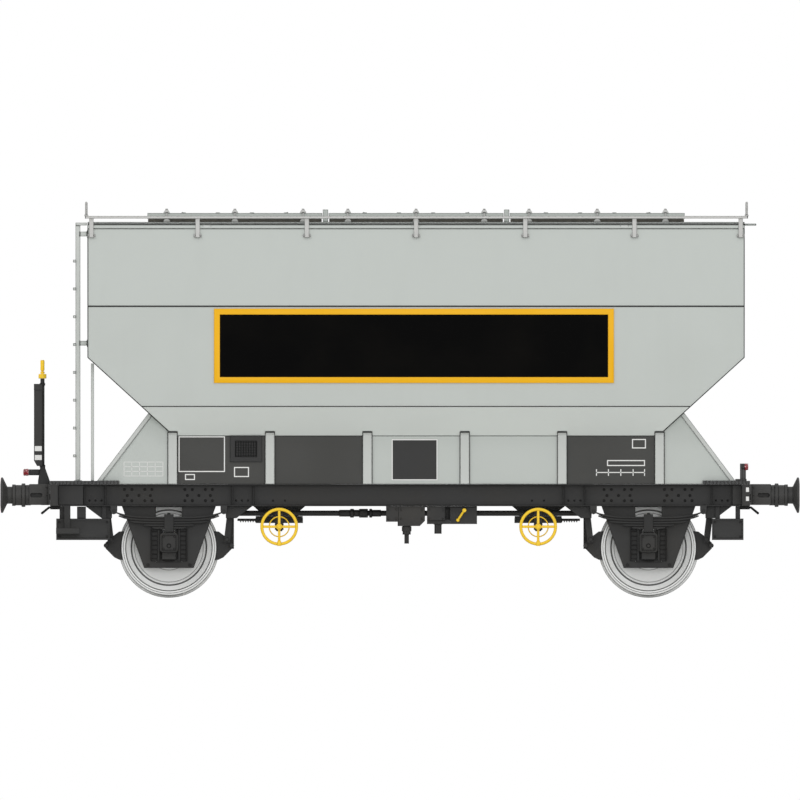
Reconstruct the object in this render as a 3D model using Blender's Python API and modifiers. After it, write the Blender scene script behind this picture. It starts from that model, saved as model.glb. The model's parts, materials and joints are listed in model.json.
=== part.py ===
"""Grain hopper wagon on two axles, with three roof lids and two slide gates. Metres, +Z up.

X runs along the wagon: the brake platform is at -X. Y is across it, and the buffers' faces end its length.
"""

import math

import bmesh
import bpy
from mathutils import Matrix, Vector

# Clearances
SEAT = 0.0003  # between two separate pieces that rest on each other
RUNNING = 0.005  # beside a piece that moves
JOURNAL_PLAY = 0.0006  # around a turning journal
SHAFT_PLAY = 0.0002  # around a gate's shaft

# Whole wagon
LENGTH_OVER_BUFFERS = 8.42
WHEELBASE = 5.05
WHEELS_X = 0.0915  # middle of the wheelbase and of the two outlets
BODY_X = 0.169  # middle of the body, which leaves room for the brake platform

# Wheels, axles and axleboxes
TREAD_RADIUS = 0.500
FLANGE_HEIGHT = 0.028
FLANGE_RADIUS = TREAD_RADIUS + FLANGE_HEIGHT
WHEEL_BACK = 0.680  # from the centre line to the back of the flange
WHEEL_WIDTH = 0.135
WHEEL_FACE = WHEEL_BACK + WHEEL_WIDTH
AXLE_Z = FLANGE_RADIUS
AXLE_SEAT_RADIUS = 0.0925
AXLE_RADIUS = 0.080
JOURNAL_RADIUS = 0.060
JOURNAL_START = 0.865
JOURNAL_END = 1.070
WHEEL_SIDES = 24
AXLE_SIDES = 12  # a divisor of WHEEL_SIDES, so that the seat's corners meet the bore's
BOX_HALF_LENGTH = 0.0966
BOX_IN = 0.875
BOX_OUT = 1.085
BOX_TOP = 0.681
BOX_SHOULDER = 0.487
BOX_BOTTOM = 0.386
BOX_COVER = 0.015
SPRING_SEAT = 0.009

# Underframe
SOLEBAR_BOTTOM = 0.964
SOLEBAR_TOP = 1.195
WEB_Y = 0.950
WEB_THICK = 0.010
FLANGE_THICK = 0.012
FLANGE_Y = 1.047
FRAME_HALF_LENGTH = 3.686
HEADSTOCK_DEPTH = 0.086
HEADSTOCK_HALF_WIDTH = 1.250
HEADSTOCK_THICK = 0.012
SILL_Y = 0.160
SILL_WIDTH = 0.060
END_BEARER_X = 3.340
BEARER_WIDTH = 0.080
BEARER_THICK = 0.010
BEARER_SHARE = 0.468  # of the way from an axle to its outlet's edge
STIFFENER_OFFSETS = (-0.891, -0.668, 0.668, 0.891)
STIFFENER_THICK = 0.010
STIFFENER_DEPTH = 0.085

# Axle guards
GUARD_IN = 0.932
GUARD_OUT = 0.9515
GUARD_TOP = 1.100
GUARD_TOP_HALF = 0.495
GUARD_FOOT_HALF = 0.261
GUARD_FOOT_Z = 0.313
TIE_BAR_HEIGHT = 0.063
HORN_HALF_GAP = 0.137
GUIDE_HALF = 0.190
GUIDE_BOTTOM = 0.387
GUIDE_TOP = 0.724
GUIDE_OUT = 0.990

# Springs
SPRING_Y = 1.000
SPRING_WIDTH = 0.075
LEAF_THICK = 0.020
LEAF_HALVES = (0.579, 0.463, 0.400, 0.337, 0.242, 0.179)
SPRING_TOP_Z = 0.850
EYE_Z = 0.913
EYE_RADIUS = 0.032
LUG_THICK = 0.009
LUG_RADIUS = 0.036
BUCKLE_HALF = 0.0495
BUCKLE_TOP = 0.880
BUCKLE_WALL = 0.010

# Buffers and draw hooks
BUFFER_Y = 0.875
BUFFER_Z = 1.080
BUFFER_HEAD_RADIUS = 0.1875
BUFFER_HEAD_THICK = 0.037
BUFFER_HEAD_DOME = 0.010
PLUNGER_RADIUS = 0.090
COLLAR_RADIUS = 0.113
BARREL_RADIUS = 0.108
BARREL_RING_RADIUS = 0.124
BARREL_FRONT = 4.084  # from the middle of the wagon
BARREL_BACK = 3.907
BUFFER_BASE_HEIGHT = 0.230
BUFFER_BASE_WIDTH = 0.300
BUFFER_SLOT_HEIGHT = 0.042
BUFFER_SLOT_LENGTH = 0.126
HOOK_Z = 1.060
HOOK_REACH = 0.300
HOOK_THICK = 0.050

# Brake gear
SHOE_CLEARANCE = 0.006
SHOE_THICK = 0.050
SHOE_Y = (0.722, 0.800)
SHOE_LOW_DEG = -15
SHOE_HIGH_DEG = 20
HANGER_Y = (0.835, 0.857)
HANGER_WIDTH = 0.068
HANGER_TOP = 0.945
HANGER_TOP_X = 0.650  # from the axle, as are the next two
HANGER_FOOT_X = 0.610
HOLDER_X = 0.662
HOLDER_PAST_BEAM = 0.005
HANGER_FOOT_Z = 0.580
HANGER_PIN_RADIUS = 0.022
HANGER_PIN_PROUD = 0.012
BRACKET_PLATE = ((0.878, 0.0), (0.710, -0.127), (0.600, -0.127), (0.594, 0.0))  # from axle and flange
BEAM_RADIUS = 0.026
BEAM_Z = 0.550
PULL_ROD_Y = -0.600
PULL_ROD_Z = 0.890
PULL_ROD_RADIUS = 0.029
LEVER_X = 0.650
LEVER_WIDTH = 0.070
LEVER_THICK = 0.020
LEVER_PAST_BEAM = 0.035
LEVER_PAST_ROD = 0.045
ADJUSTER_RADIUS = 0.051
ADJUSTER_X = -0.526
ADJUSTER_COLLARS = ((0.042, 0.052), (0.095, 0.013), (0.032, 0.0))  # length, then the gap to the next

# Brake valve, load relay and changeover plate, under the near solebar
VALVE_Y = (1.030, 0.890)
CARRIER_THICK = 0.012
VALVE_HEAD_X = (-0.147, -0.020)
VALVE_HEAD_LOW = 0.800
VALVE_BODY_END = 0.263
VALVE_BODY_LOW = 0.755
NOZZLE_X = 0.070
NOZZLE_LOW = 0.665
NOZZLE_RADIUS = 0.045
STEM_LOW = 0.570
STEM_RADIUS = 0.024
RELAY_X = (0.284, 0.474)
RELAY_LOW = 0.813
RELAY_FOOT_END = 0.526
RELAY_FOOT_LOW = 0.776
RELAY_STUB_X = 0.400
RELAY_STUB_LOW = 0.674
RELAY_STUB_RADIUS = 0.040
CHANGEOVER_X = (0.5265, 0.811)
CHANGEOVER_LOW = 0.776
CHANGEOVER_SET_BACK = 0.040
CHANGEOVER_THICK = 0.008
CHANGEOVER_BOSS = 0.024
CHANGEOVER_LEVER = (0.677, 0.921, 0.608, 0.815)  # the pivot's place, then the tip's
CHANGEOVER_LEVER_RADIUS = 0.010

# Boxes and steps under the ends, and the shunter's bars under the headstocks
END_BOX_OUT = 1.040
END_BOX_DEPTH = 0.165
END_BOX_A_X = (-3.620, -3.054)
END_BOX_B_X = (3.285, 3.617)
END_BOX_Z = (0.608, 0.834)
END_BOX_STRAP_INSET = 0.060
END_BOX_STRAP_FROM_END = 0.060
END_BOX_STRAP_WIDTH = 0.050
END_BOX_STRAP_THICK = 0.010
STEP_X = (-3.622, -3.370)
STEP_STRAP_X = (-3.538, -3.470)
STEP_Z = (0.672, 0.735)
STEP_CLEAR = 0.003  # outside the solebar's flange
STEP_DEPTH = 0.190
STEP_THICK = 0.010
STEP_LUG = 0.050
GRAB_RADIUS = 0.014
GRAB_Y = (0.350, 0.620)
GRAB_FOOT_INSET = 0.110
GRAB_OUT = 0.085
GRAB_DROP = 0.075

# Hopper
BODY_LENGTH = 6.918
BODY_HALF_WIDTH = 1.335
SHEET = 0.008  # thickness of the body's sheets
ROOF_UNDER = 3.945
ROOF_THICK = 0.012
CANTRAIL_HALF_WIDTH = 1.060
CANTRAIL_HEIGHT = 0.042
CANTRAIL_PROUD = 0.010
LEAN_Z = 3.070  # where the side starts to lean in
END_WALL_Z = 2.530  # bottom of the upright end wall
END_SLOPE = 0.911
KNUCKLE_Z = 1.752  # where the end sheet crosses the side frames
OUTLET_FROM_AXLE = 1.1615  # towards the middle
OUTLET_LENGTH = 0.400
OUTLET_HALF_WIDTH = 0.221
OUTLET_TOP = 0.900
OUTLET_BOTTOM = 0.860
FOLD_Z = OUTLET_TOP + BODY_HALF_WIDTH - OUTLET_HALF_WIDTH  # where the side folds under at 45 degrees
EAVES_Z = ROOF_UNDER - 0.015
SIDE_FOOT_DROP = 0.010  # how far the sides reach behind the side frames
END_RAIL_OUT = 0.116
END_RAIL_DROP = 0.016
END_RAIL_HALF = 0.700
END_RAIL_RADIUS = 0.013
SADDLE_Z = 1.903

# Side frames
POST_DEPTH = 0.045
PANEL_THICK = 0.010
PANEL_SET_BACK = 0.015  # behind the posts' faces
FRAME_OUT = FLANGE_Y - 0.002
FRAME_Y = (FRAME_OUT - POST_DEPTH, FRAME_OUT)
PANEL_Y = (FRAME_OUT - PANEL_SET_BACK - PANEL_THICK, FRAME_OUT - PANEL_SET_BACK)
POST_WIDTH = 0.095
POST_PITCH = 1.0256
POSTS = 6
BRACE_WIDTH = 0.055
BRACE_FOOT = 0.689  # from the outer post's outer edge to the brace's foot
BRACE_TOP = 0.165

# Roof, hatches and walkways
HATCH_LENGTH = 5.657
HATCH_HALF_WIDTH = 0.400
DIVIDER = 0.066
DIVIDER_HALF_WIDTH = 0.420
LIDS = 3
LID_TOP = 4.051
LID_THICK = 0.010
LID_SKIRT = 0.062
COAMING = 0.008
DIVIDER_TOP = 4.088
HINGE_Y = 0.440
HINGE_Z = 4.030
HINGE_PIN_RADIUS = 0.010
HINGE_EYE_RADIUS = 0.018
HINGE_EAR = 0.012
LATCH_OFFSETS = (-0.718, 0.0, 0.718)
LATCH_INSET = 0.025
LATCH_TOP = 4.093
LATCH_RADIUS = 0.030
LATCH_TIP_RADIUS = 0.010
WALK_WIDTH = 0.480
WALK_OVERHANG = 0.040  # beyond the cantrail
WALK_Y = (CANTRAIL_HALF_WIDTH + WALK_OVERHANG - WALK_WIDTH, CANTRAIL_HALF_WIDTH + WALK_OVERHANG)
WALK_Z = (3.993, 4.020)
WALK_X = (-3.317, 3.664)
BRACKETS = 7
BRACKET_PITCH = 1.150
BRACKET_WIDTH = 0.047
BRACKET_FOOT_WIDTH = 0.080
BRACKET_FOOT_Z = 3.794
BRACKET_FOOT_HEIGHT = 0.037
BRACKET_THICK = 0.014
RAIL_TOP = 4.172
RAIL_RADIUS = 0.014

# Gates and their shafts
GATE_LENGTH = 0.500
GATE_HALF_WIDTH = 0.250
GATE_THICK = 0.012
GATE_TOP = 0.842
GATE_TRAVEL = 0.400
RAIL_THICK = 0.010
GATE_FRAME_LENGTH = 0.495
SHAFT_Z = 0.750
SHAFT_RADIUS = 0.020
PINION_RADIUS = 0.050
PINION_TEETH = 12
TOOTH_ADDENDUM = 0.006
TOOTH_DEDENDUM = 0.008
TOOTH_SHARE = 0.40  # tooth thickness as a share of the pitch
RACK_Y = 0.150
RACK_WIDTH = 0.030
RACK_SPARE = 0.040  # past the pinion at both ends of the travel
PINION_WIDTH = 0.040
HANDWHEEL_Y = 1.075
HANDWHEEL_RADIUS = 0.183
HANDWHEEL_RIM = 0.0165
HANDWHEEL_CLAMP = 0.044
HANDWHEEL_SPOKES = 4
HANGER_PLATE_HALF = 0.045
HANGER_PLATE_DROP = 0.050

# Decks, ladder and brake stand
DECK_TOP = 1.231
DECK_A_END = -2.959
DECK_B_START = 3.190
DECK_HALF_WIDTH = 1.100
LADDER_X = (-3.417, -3.366)
LADDER_Y = (-1.020, -0.660)
LADDER_TOP = 3.950
STILE_THICK = 0.012
RUNGS = 8
RUNG_PITCH = 0.293
FIRST_RUNG_Z = 1.494
RUNG_RADIUS = 0.012
DECK_POST_X = (-3.254, -3.222)
DECK_POST_INSET = 0.120  # from the deck's edge
DECK_POST_DEPTH = 0.040
STAND_X = -3.765
STAND_Y = -0.450
STAND_RADIUS = 0.022
STAND_TOP = 2.308
BOARD_X = (-3.854, -3.790)
BOARD_HALF_WIDTH = 0.260
BOARD_Z = (1.435, 2.250)
BOARD_THICK = 0.006
BOARD_CHEEK_TAPER = 0.070
BOARD_ARM_INSET = 0.125
STAND_FOOT_Z = (0.975, 1.229)
STAND_FOOT_HALF = 0.047
STAND_FOOT_WIDTH = 0.120
STAND_FOOT_ROUND = 0.030
STAND_FLARE_Z = 1.387
TAIL_LAMP_X = -3.960
TAIL_LAMP_Z = 1.321
CRANK_COLLAR = 0.048
CRANK_COLLAR_RADIUS = 0.042
CRANK_ARM = 0.160
CRANK_TOP = 2.504
CRANK_GRIP_RADIUS = 0.022
LAMP_INSET = 0.100  # from the deck's near edge
LAMP_FOOT = 0.120
LAMP_FOOT_INSET = 0.036
LAMP_FACE = 3.643
LAMP_POST = 0.063
LAMP_TOP = 1.413
LAMP_RADIUS = 0.034
LAMP_LENS = 0.024

WHEEL_XS = {"a": WHEELS_X - WHEELBASE / 2, "b": WHEELS_X + WHEELBASE / 2}
OUTLET_XS = {"a": WHEEL_XS["a"] + OUTLET_FROM_AXLE, "b": WHEEL_XS["b"] - OUTLET_FROM_AXLE}
ENDS = {"a": -1, "b": 1}
SIDES = {"near": -1, "far": 1}
BODY_START = BODY_X - BODY_LENGTH / 2
BODY_END = BODY_X + BODY_LENGTH / 2

for thing in list(bpy.data.objects):
    bpy.data.objects.remove(thing, do_unlink=True)


def new_collection(name, parent):
    made = bpy.data.collections.new(name)
    parent.children.link(made)
    return made


WAGON = new_collection("GrainHopperWagon", bpy.context.scene.collection)
CUTTERS = new_collection("Cutters", bpy.context.scene.collection)
CUTTERS.hide_render = True


def material(name, colour, roughness=0.5, metallic=0.0):
    made = bpy.data.materials.new(name)
    made.use_nodes = True
    shader = made.node_tree.nodes["Principled BSDF"]
    shader.inputs["Base Color"].default_value = (*colour, 1.0)
    shader.inputs["Roughness"].default_value = roughness
    shader.inputs["Metallic"].default_value = metallic
    made.diffuse_color = (*colour, 1.0)
    return made


BODY_PAINT = material("Body grey", (0.52, 0.55, 0.53), 0.45)
TRIM_PAINT = material("Trim grey", (0.60, 0.62, 0.60), 0.45)
FRAME_PAINT = material("Frame black", (0.042, 0.042, 0.042), 0.55)
WHEEL_STEEL = material("Wheel white", (0.72, 0.73, 0.73), 0.4, 0.2)
BUFFER_STEEL = material("Buffer steel", (0.10, 0.10, 0.10), 0.4, 0.6)
CAST_IRON = material("Cast iron", (0.05, 0.05, 0.05), 0.7, 0.3)
YELLOW_PAINT = material("Hand yellow", (0.85, 0.60, 0.03), 0.4)
GATE_STEEL = material("Gate steel", (0.20, 0.20, 0.20), 0.5, 0.6)


def helper(mesh):
    """A new object for this mesh, kept with the cutters until a piece takes it."""
    made = bpy.data.objects.new("Shape", mesh)
    CUTTERS.objects.link(made)
    made.display_type = "WIRE"
    made.hide_render = True
    return made


def from_bmesh(bm):
    mesh = bpy.data.meshes.new("Shape")
    bm.to_mesh(mesh)
    bm.free()
    return helper(mesh)


def block(x, y, z):
    """A box between the low and high value of each axis, given in either order."""
    spans = [sorted(span) for span in (x, y, z)]
    centre = Vector([sum(span) / 2 for span in spans])
    size = Vector([high - low for low, high in spans])
    bm = bmesh.new()
    bmesh.ops.create_cube(bm, size=1.0, matrix=Matrix.LocRotScale(centre, None, size))
    return from_bmesh(bm)


def rod(start, end, radius, sides=12, end_radius=None):
    """A round bar, or a cone where its far end has another radius."""
    start, end = Vector(start), Vector(end)
    along = end - start
    turn = along.to_track_quat("Z", "Y").to_matrix().to_4x4()
    bm = bmesh.new()
    bmesh.ops.create_cone(
        bm,
        cap_ends=True,
        segments=sides,
        radius1=radius,
        radius2=radius if end_radius is None else end_radius,
        depth=along.length,
        matrix=Matrix.Translation((start + end) / 2) @ turn,
    )
    return smooth(from_bmesh(bm))


def smooth(obj, degrees=35):
    obj.data.shade_smooth()
    obj.data.set_sharp_from_angle(angle=math.radians(degrees))
    return obj


def mesh_of_curve(curve, matrix):
    """The curve's mesh with its caps welded on, at the place that the matrix gives."""
    guide = bpy.data.objects.new("Curve", curve)
    CUTTERS.objects.link(guide)
    graph = bpy.context.evaluated_depsgraph_get()
    mesh = bpy.data.meshes.new_from_object(guide.evaluated_get(graph))
    bpy.data.objects.remove(guide, do_unlink=True)
    mesh.materials.clear()
    bm = bmesh.new()
    bm.from_mesh(mesh)
    bmesh.ops.remove_doubles(bm, verts=bm.verts, dist=1e-5)
    bmesh.ops.transform(bm, matrix=matrix, verts=bm.verts)
    bmesh.ops.recalc_face_normals(bm, faces=bm.faces)
    bpy.data.meshes.remove(mesh)
    return from_bmesh(bm)


PLANES = {
    "XZ": Matrix(((1, 0, 0, 0), (0, 0, -1, 0), (0, 1, 0, 0), (0, 0, 0, 1))),
    "YZ": Matrix(((0, 0, 1, 0), (1, 0, 0, 0), (0, 1, 0, 0), (0, 0, 0, 1))),
    "XY": Matrix.Identity(4),
}
NORMALS = {"XZ": Vector((0, 1, 0)), "YZ": Vector((1, 0, 0)), "XY": Vector((0, 0, 1))}


def slab(outline, plane, low, high, holes=()):
    """A flat outline in one plane, filled and drawn out between two values of the third axis."""
    curve = bpy.data.curves.new("Outline", "CURVE")
    curve.dimensions = "2D"
    curve.fill_mode = "BOTH"
    curve.extrude = abs(high - low) / 2
    for ring in (outline, *holes):
        spline = curve.splines.new("POLY")
        spline.points.add(len(ring) - 1)
        for point, place in zip(spline.points, ring):
            point.co = (place[0], place[1], 0.0, 1.0)
        spline.use_cyclic_u = True
    middle = Matrix.Translation(NORMALS[plane] * (low + high) / 2)
    return mesh_of_curve(curve, middle @ PLANES[plane])


def tube(points, radius, resolution=2):
    """A bent round bar through these points."""
    curve = bpy.data.curves.new("Tube", "CURVE")
    curve.dimensions = "3D"
    curve.bevel_depth = radius
    curve.bevel_resolution = resolution
    curve.use_fill_caps = True
    spline = curve.splines.new("POLY")
    spline.points.add(len(points) - 1)
    for point, place in zip(spline.points, points):
        point.co = (*place, 1.0)
    return smooth(mesh_of_curve(curve, Matrix.Identity(4)))


def turned(profile, place, along, sides, closed=False):
    """A profile of (radius, distance) pairs turned about an axis through place.

    It runs down its outer side, from the far end of the axis to the near one.
    """
    mesh = bpy.data.meshes.new("Profile")
    edges = [(i, i + 1) for i in range(len(profile) - 1)]
    if closed:
        edges.append((len(profile) - 1, 0))
    mesh.from_pydata([(radius, 0.0, far) for radius, far in profile], edges, [])
    made = helper(mesh)
    screw = made.modifiers.new("Turn", "SCREW")
    screw.axis = "Z"
    screw.steps = sides
    screw.render_steps = sides
    screw.use_merge_vertices = True
    screw.merge_threshold = 0.0001
    screw.use_smooth_shade = True
    made.rotation_mode = "QUATERNION"
    made.rotation_quaternion = Vector(along).to_track_quat("Z", "X")
    made.location = place
    return made


def take(shapes, name):
    group = new_collection(name, CUTTERS)
    for shape in shapes:
        CUTTERS.objects.unlink(shape)
        group.objects.link(shape)
    return group


JOINERY = []  # (object, operation, collection), added last so that the curves above evaluate fast


def boolean(obj, operation, shapes):
    JOINERY.append((obj, operation, take(shapes, f"{obj.name} {operation.lower()}")))


def add_booleans():
    for obj, operation, group in JOINERY:
        modifier = obj.modifiers.new(operation.title(), "BOOLEAN")
        modifier.operation = operation
        modifier.solver = "EXACT"
        modifier.operand_type = "COLLECTION"
        modifier.collection = group


def piece(name, shapes, paint, inside=(), cuts=()):
    """One named piece: the shapes joined, kept inside some forms, and cut by others."""
    made = shapes[0]
    made.name = name
    made.data.name = name
    CUTTERS.objects.unlink(made)
    WAGON.objects.link(made)
    made.hide_render = False
    made.display_type = "TEXTURED"
    made.data.materials.append(paint)
    if inside:
        boolean(made, "INTERSECT", inside)
    if len(shapes) > 1:
        boolean(made, "UNION", shapes[1:])
    if cuts:
        boolean(made, "DIFFERENCE", cuts)
    return made


def part_cut(shape, inside=(), cuts=()):
    """A shape that is kept inside some forms, and cut by others, before it joins a piece."""
    if inside:
        boolean(shape, "INTERSECT", inside)
    if cuts:
        boolean(shape, "DIFFERENCE", cuts)
    return shape


def pivot(name, place, pieces):
    """An empty on a joint's axis, which carries the pieces that move with it."""
    empty = bpy.data.objects.new(name, None)
    WAGON.objects.link(empty)
    empty.location = place
    for moved in pieces:
        moved.parent = empty
        moved.matrix_parent_inverse = Matrix.Translation(-Vector(place))
    return empty


def mirrored(points):
    """An outline's points with their first value turned round, in reverse order."""
    return [(-first, second) for first, second in reversed(points)]


def across(side, low, high):
    """The span from low to high out from the centre line, on one side of the wagon."""
    return side * low, side * high


def arc(centre, radius, start_deg, end_deg, steps):
    """Points along an arc, both ends included."""
    turn = [math.radians(start_deg + (end_deg - start_deg) * i / steps) for i in range(steps + 1)]
    return [(centre[0] + radius * math.cos(a), centre[1] + radius * math.sin(a)) for a in turn]


def inset(outline, distance):
    """The closed outline moved inwards by a distance. It runs anticlockwise."""
    count = len(outline)
    moved = []
    for i in range(count):
        before, here, after = (Vector(outline[(i + k) % count]) for k in (-1, 0, 1))
        first, second = (here - before).normalized(), (after - here).normalized()
        inward_first = Vector((-first.y, first.x))
        inward_second = Vector((-second.y, second.x))
        half = (inward_first + inward_second).normalized()
        moved.append(tuple(here + half * distance / half.dot(inward_first)))
    return moved


def flat_radius(radius, sides):
    """The radius at the corners of a bore whose flats lie at this radius."""
    return radius / math.cos(math.pi / sides)


# Wheelsets


def wheel_profile():
    """Outer face and tread, then the back of the wheel, as a closed ring."""
    out, back = WHEEL_FACE, WHEEL_BACK
    tread, tip = TREAD_RADIUS, FLANGE_RADIUS
    hub, bore = 0.135, AXLE_SEAT_RADIUS + SEAT
    return [
        (bore, out + 0.025),
        (hub, out + 0.020),
        (0.235, out - 0.068),
        (0.363, out - 0.055),
        (0.395, out - 0.040),
        (0.455, out),
        (tread - 0.006, out),
        (tread, back + 0.040),
        (tip, back + 0.022),
        (tip - 0.010, back),
        (0.440, back),
        (0.395, back + 0.035),
        (hub, back + 0.020),
        (bore, back - 0.015),
    ]


def wheelset(end):
    x = WHEEL_XS[end]
    wheels = []
    for name, side in SIDES.items():
        shape = turned(wheel_profile(), (x, 0, AXLE_Z), (0, side, 0), WHEEL_SIDES, closed=True)
        # The profile holds distances from the centre line, so both wheels share it.
        wheels.append(piece(f"wheel_{end}_{name}", [shape], WHEEL_STEEL))
    half = [
        (JOURNAL_RADIUS, JOURNAL_END),
        (JOURNAL_RADIUS, JOURNAL_START),
        (AXLE_SEAT_RADIUS - 0.010, JOURNAL_START - 0.015),
        (AXLE_SEAT_RADIUS, WHEEL_FACE + 0.030),
        (AXLE_SEAT_RADIUS, WHEEL_BACK - 0.020),
        (AXLE_RADIUS, WHEEL_BACK - 0.085),
    ]
    profile = [(0, JOURNAL_END), *half, *[(r, -y) for r, y in reversed(half)], (0, -JOURNAL_END)]
    shape = turned(profile, (x, 0, AXLE_Z), (0, 1, 0), AXLE_SIDES)
    axle = piece(f"axle_{end}", [shape], CAST_IRON)
    pivot(f"wheelset_{end}_axis", (x, 0, AXLE_Z), [axle, *wheels])


def axlebox(end, name, side):
    x = WHEEL_XS[end]
    half, foot = BOX_HALF_LENGTH, BOX_HALF_LENGTH - 0.013
    right = [
        (half, BOX_TOP),
        (half, BOX_SHOULDER),
        (foot, BOX_SHOULDER),
        (foot, BOX_BOTTOM + 0.040),
        (foot - 0.030, BOX_BOTTOM),
    ]
    outline = [(x + dx, z) for dx, z in right + mirrored(right)]
    body = slab(outline, "XZ", *across(side, BOX_IN, BOX_OUT))
    cover_half = half - 0.016
    cover = block(
        (x - cover_half, x + cover_half),
        across(side, BOX_OUT - 0.010, BOX_OUT + BOX_COVER),
        (BOX_SHOULDER + 0.015, BOX_TOP - 0.020),
    )
    plug = rod(
        (x, side * BOX_OUT, AXLE_Z),
        (x, side * (BOX_OUT + BOX_COVER + 0.008), AXLE_Z),
        0.030,
    )
    seat = block(
        (x - 0.060, x + 0.060),
        across(side, SPRING_Y - SPRING_WIDTH / 2, SPRING_Y + SPRING_WIDTH / 2),
        (BOX_TOP - 0.010, BOX_TOP + SPRING_SEAT),
    )
    sides = 24
    bore = rod(
        (x, side * (BOX_IN - 0.020), AXLE_Z),
        (x, side * (JOURNAL_END + JOURNAL_PLAY), AXLE_Z),
        flat_radius(JOURNAL_RADIUS + JOURNAL_PLAY, sides),
        sides,
    )
    piece(f"axlebox_{end}_{name}", [body, cover, plug, seat], CAST_IRON, cuts=[bore])


# Springs


def leaf_z(x):
    """Height of the top leaf's upper face at a distance from the buckle."""
    return SPRING_TOP_Z + (EYE_Z - SPRING_TOP_Z) * (x / LEAF_HALVES[0]) ** 2


def spring_outline():
    """The leaves' stepped outline: the longest on top, each one below it shorter."""
    steps = 4
    top = [LEAF_HALVES[0] * (1 - i / steps) for i in range(steps + 1)]
    right = [(x, leaf_z(x)) for x in reversed(top)]
    for i, half in enumerate(LEAF_HALVES):
        right.append((half, leaf_z(half) - LEAF_THICK * (i + 1)))
        if i + 1 < len(LEAF_HALVES):
            inner = LEAF_HALVES[i + 1]
            right.append((inner, leaf_z(inner) - LEAF_THICK * (i + 1)))
    return right[1:] + mirrored(right)[:-1] + [right[0]]


def spring(end, name, side):
    x = WHEEL_XS[end]
    low, high = SPRING_Y - SPRING_WIDTH / 2, SPRING_Y + SPRING_WIDTH / 2
    outline = [(x + dx, z) for dx, z in spring_outline()]
    leaves = slab(outline, "XZ", *across(side, low, high))
    shapes = [leaves]
    for way in (-1, 1):
        eye_x = x + way * LEAF_HALVES[0]
        shapes.append(rod((eye_x, side * low, EYE_Z), (eye_x, side * high, EYE_Z), EYE_RADIUS, 10))
    buckle = block(
        (x - BUCKLE_HALF, x + BUCKLE_HALF),
        across(side, low - BUCKLE_WALL, high + BUCKLE_WALL),
        (BOX_TOP + SPRING_SEAT + SEAT, BUCKLE_TOP),
    )
    shapes.append(buckle)
    piece(f"spring_{end}_{name}", shapes, CAST_IRON)


# Underframe


def channel(web, flange_tip, low, high, web_thick, flange_thick):
    """A channel's outline: its web's back at one value, and its flanges' tips at another."""
    way = 1 if flange_tip > web else -1
    inner = web + way * web_thick
    return [
        (web, low),
        (flange_tip, low),
        (flange_tip, low + flange_thick),
        (inner, low + flange_thick),
        (inner, high - flange_thick),
        (flange_tip, high - flange_thick),
        (flange_tip, high),
        (web, high),
    ]


def axle_guard(end, side):
    """The plate that straddles the axlebox, with its horn guides and tie bar."""
    x = WHEEL_XS[end]
    right = [
        (GUARD_TOP_HALF + 0.025, GUARD_TOP),
        (GUARD_TOP_HALF, SOLEBAR_BOTTOM),
        (GUARD_FOOT_HALF, GUARD_FOOT_Z),
    ]
    outline = [(x + dx, z) for dx, z in right + mirrored(right)]
    window_low = GUARD_FOOT_Z + TIE_BAR_HEIGHT
    window_high = SOLEBAR_BOTTOM - 0.010
    hole = [
        (x + dx, z)
        for dx, z in (
            (-HORN_HALF_GAP, window_low),
            (HORN_HALF_GAP, window_low),
            (HORN_HALF_GAP, window_high),
            (-HORN_HALF_GAP, window_high),
        )
    ]
    shapes = [slab(outline, "XZ", *across(side, GUARD_IN, GUARD_OUT), holes=[hole])]
    inner = BOX_HALF_LENGTH + 0.001
    for way in (-1, 1):
        cheek = block(
            (x + way * inner, x + way * (inner + 0.022)),
            across(side, GUARD_IN, GUIDE_OUT),
            (GUIDE_BOTTOM, GUIDE_TOP),
        )
        flange = block(
            (x + way * inner, x + way * GUIDE_HALF),
            across(side, GUARD_IN, GUARD_OUT + 0.008),
            (GUIDE_BOTTOM, GUIDE_TOP),
        )
        shapes += [cheek, flange]
    return shapes


def spring_lugs(end, side):
    shapes = []
    half = SPRING_WIDTH / 2 + SEAT
    for way in (-1, 1):
        x = WHEEL_XS[end] + way * LEAF_HALVES[0]
        top = [(x + LUG_RADIUS, SOLEBAR_BOTTOM + 0.006), (x - LUG_RADIUS, SOLEBAR_BOTTOM + 0.006)]
        outline = top + arc((x, EYE_Z), LUG_RADIUS, 180, 360, 4)
        for low in (SPRING_Y - half - LUG_THICK, SPRING_Y + half):
            shapes.append(slab(outline, "XZ", *across(side, low, low + LUG_THICK)))
    return shapes


def shaft_hanger(end, side):
    """The plate under a solebar that a gate's shaft turns in."""
    x = OUTLET_XS[end]
    half = HANGER_PLATE_HALF
    low = SHAFT_Z - HANGER_PLATE_DROP
    outline = [
        (x - half, SOLEBAR_BOTTOM + 0.040),
        (x - half, low + 0.020),
        (x - half + 0.020, low),
        (x + half - 0.020, low),
        (x + half, low + 0.020),
        (x + half, SOLEBAR_BOTTOM + 0.040),
    ]
    return slab(outline, "XZ", *across(side, GUARD_IN, GUARD_OUT))


def hanger_arm(x, side):
    """The arm that a brake hanger is pinned to."""
    return block(
        (x - 0.030, x + 0.030),
        across(side, HANGER_Y[1] + SEAT, GUARD_OUT),
        (HANGER_TOP - 0.060, SOLEBAR_BOTTOM + 0.030),
    )


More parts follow.
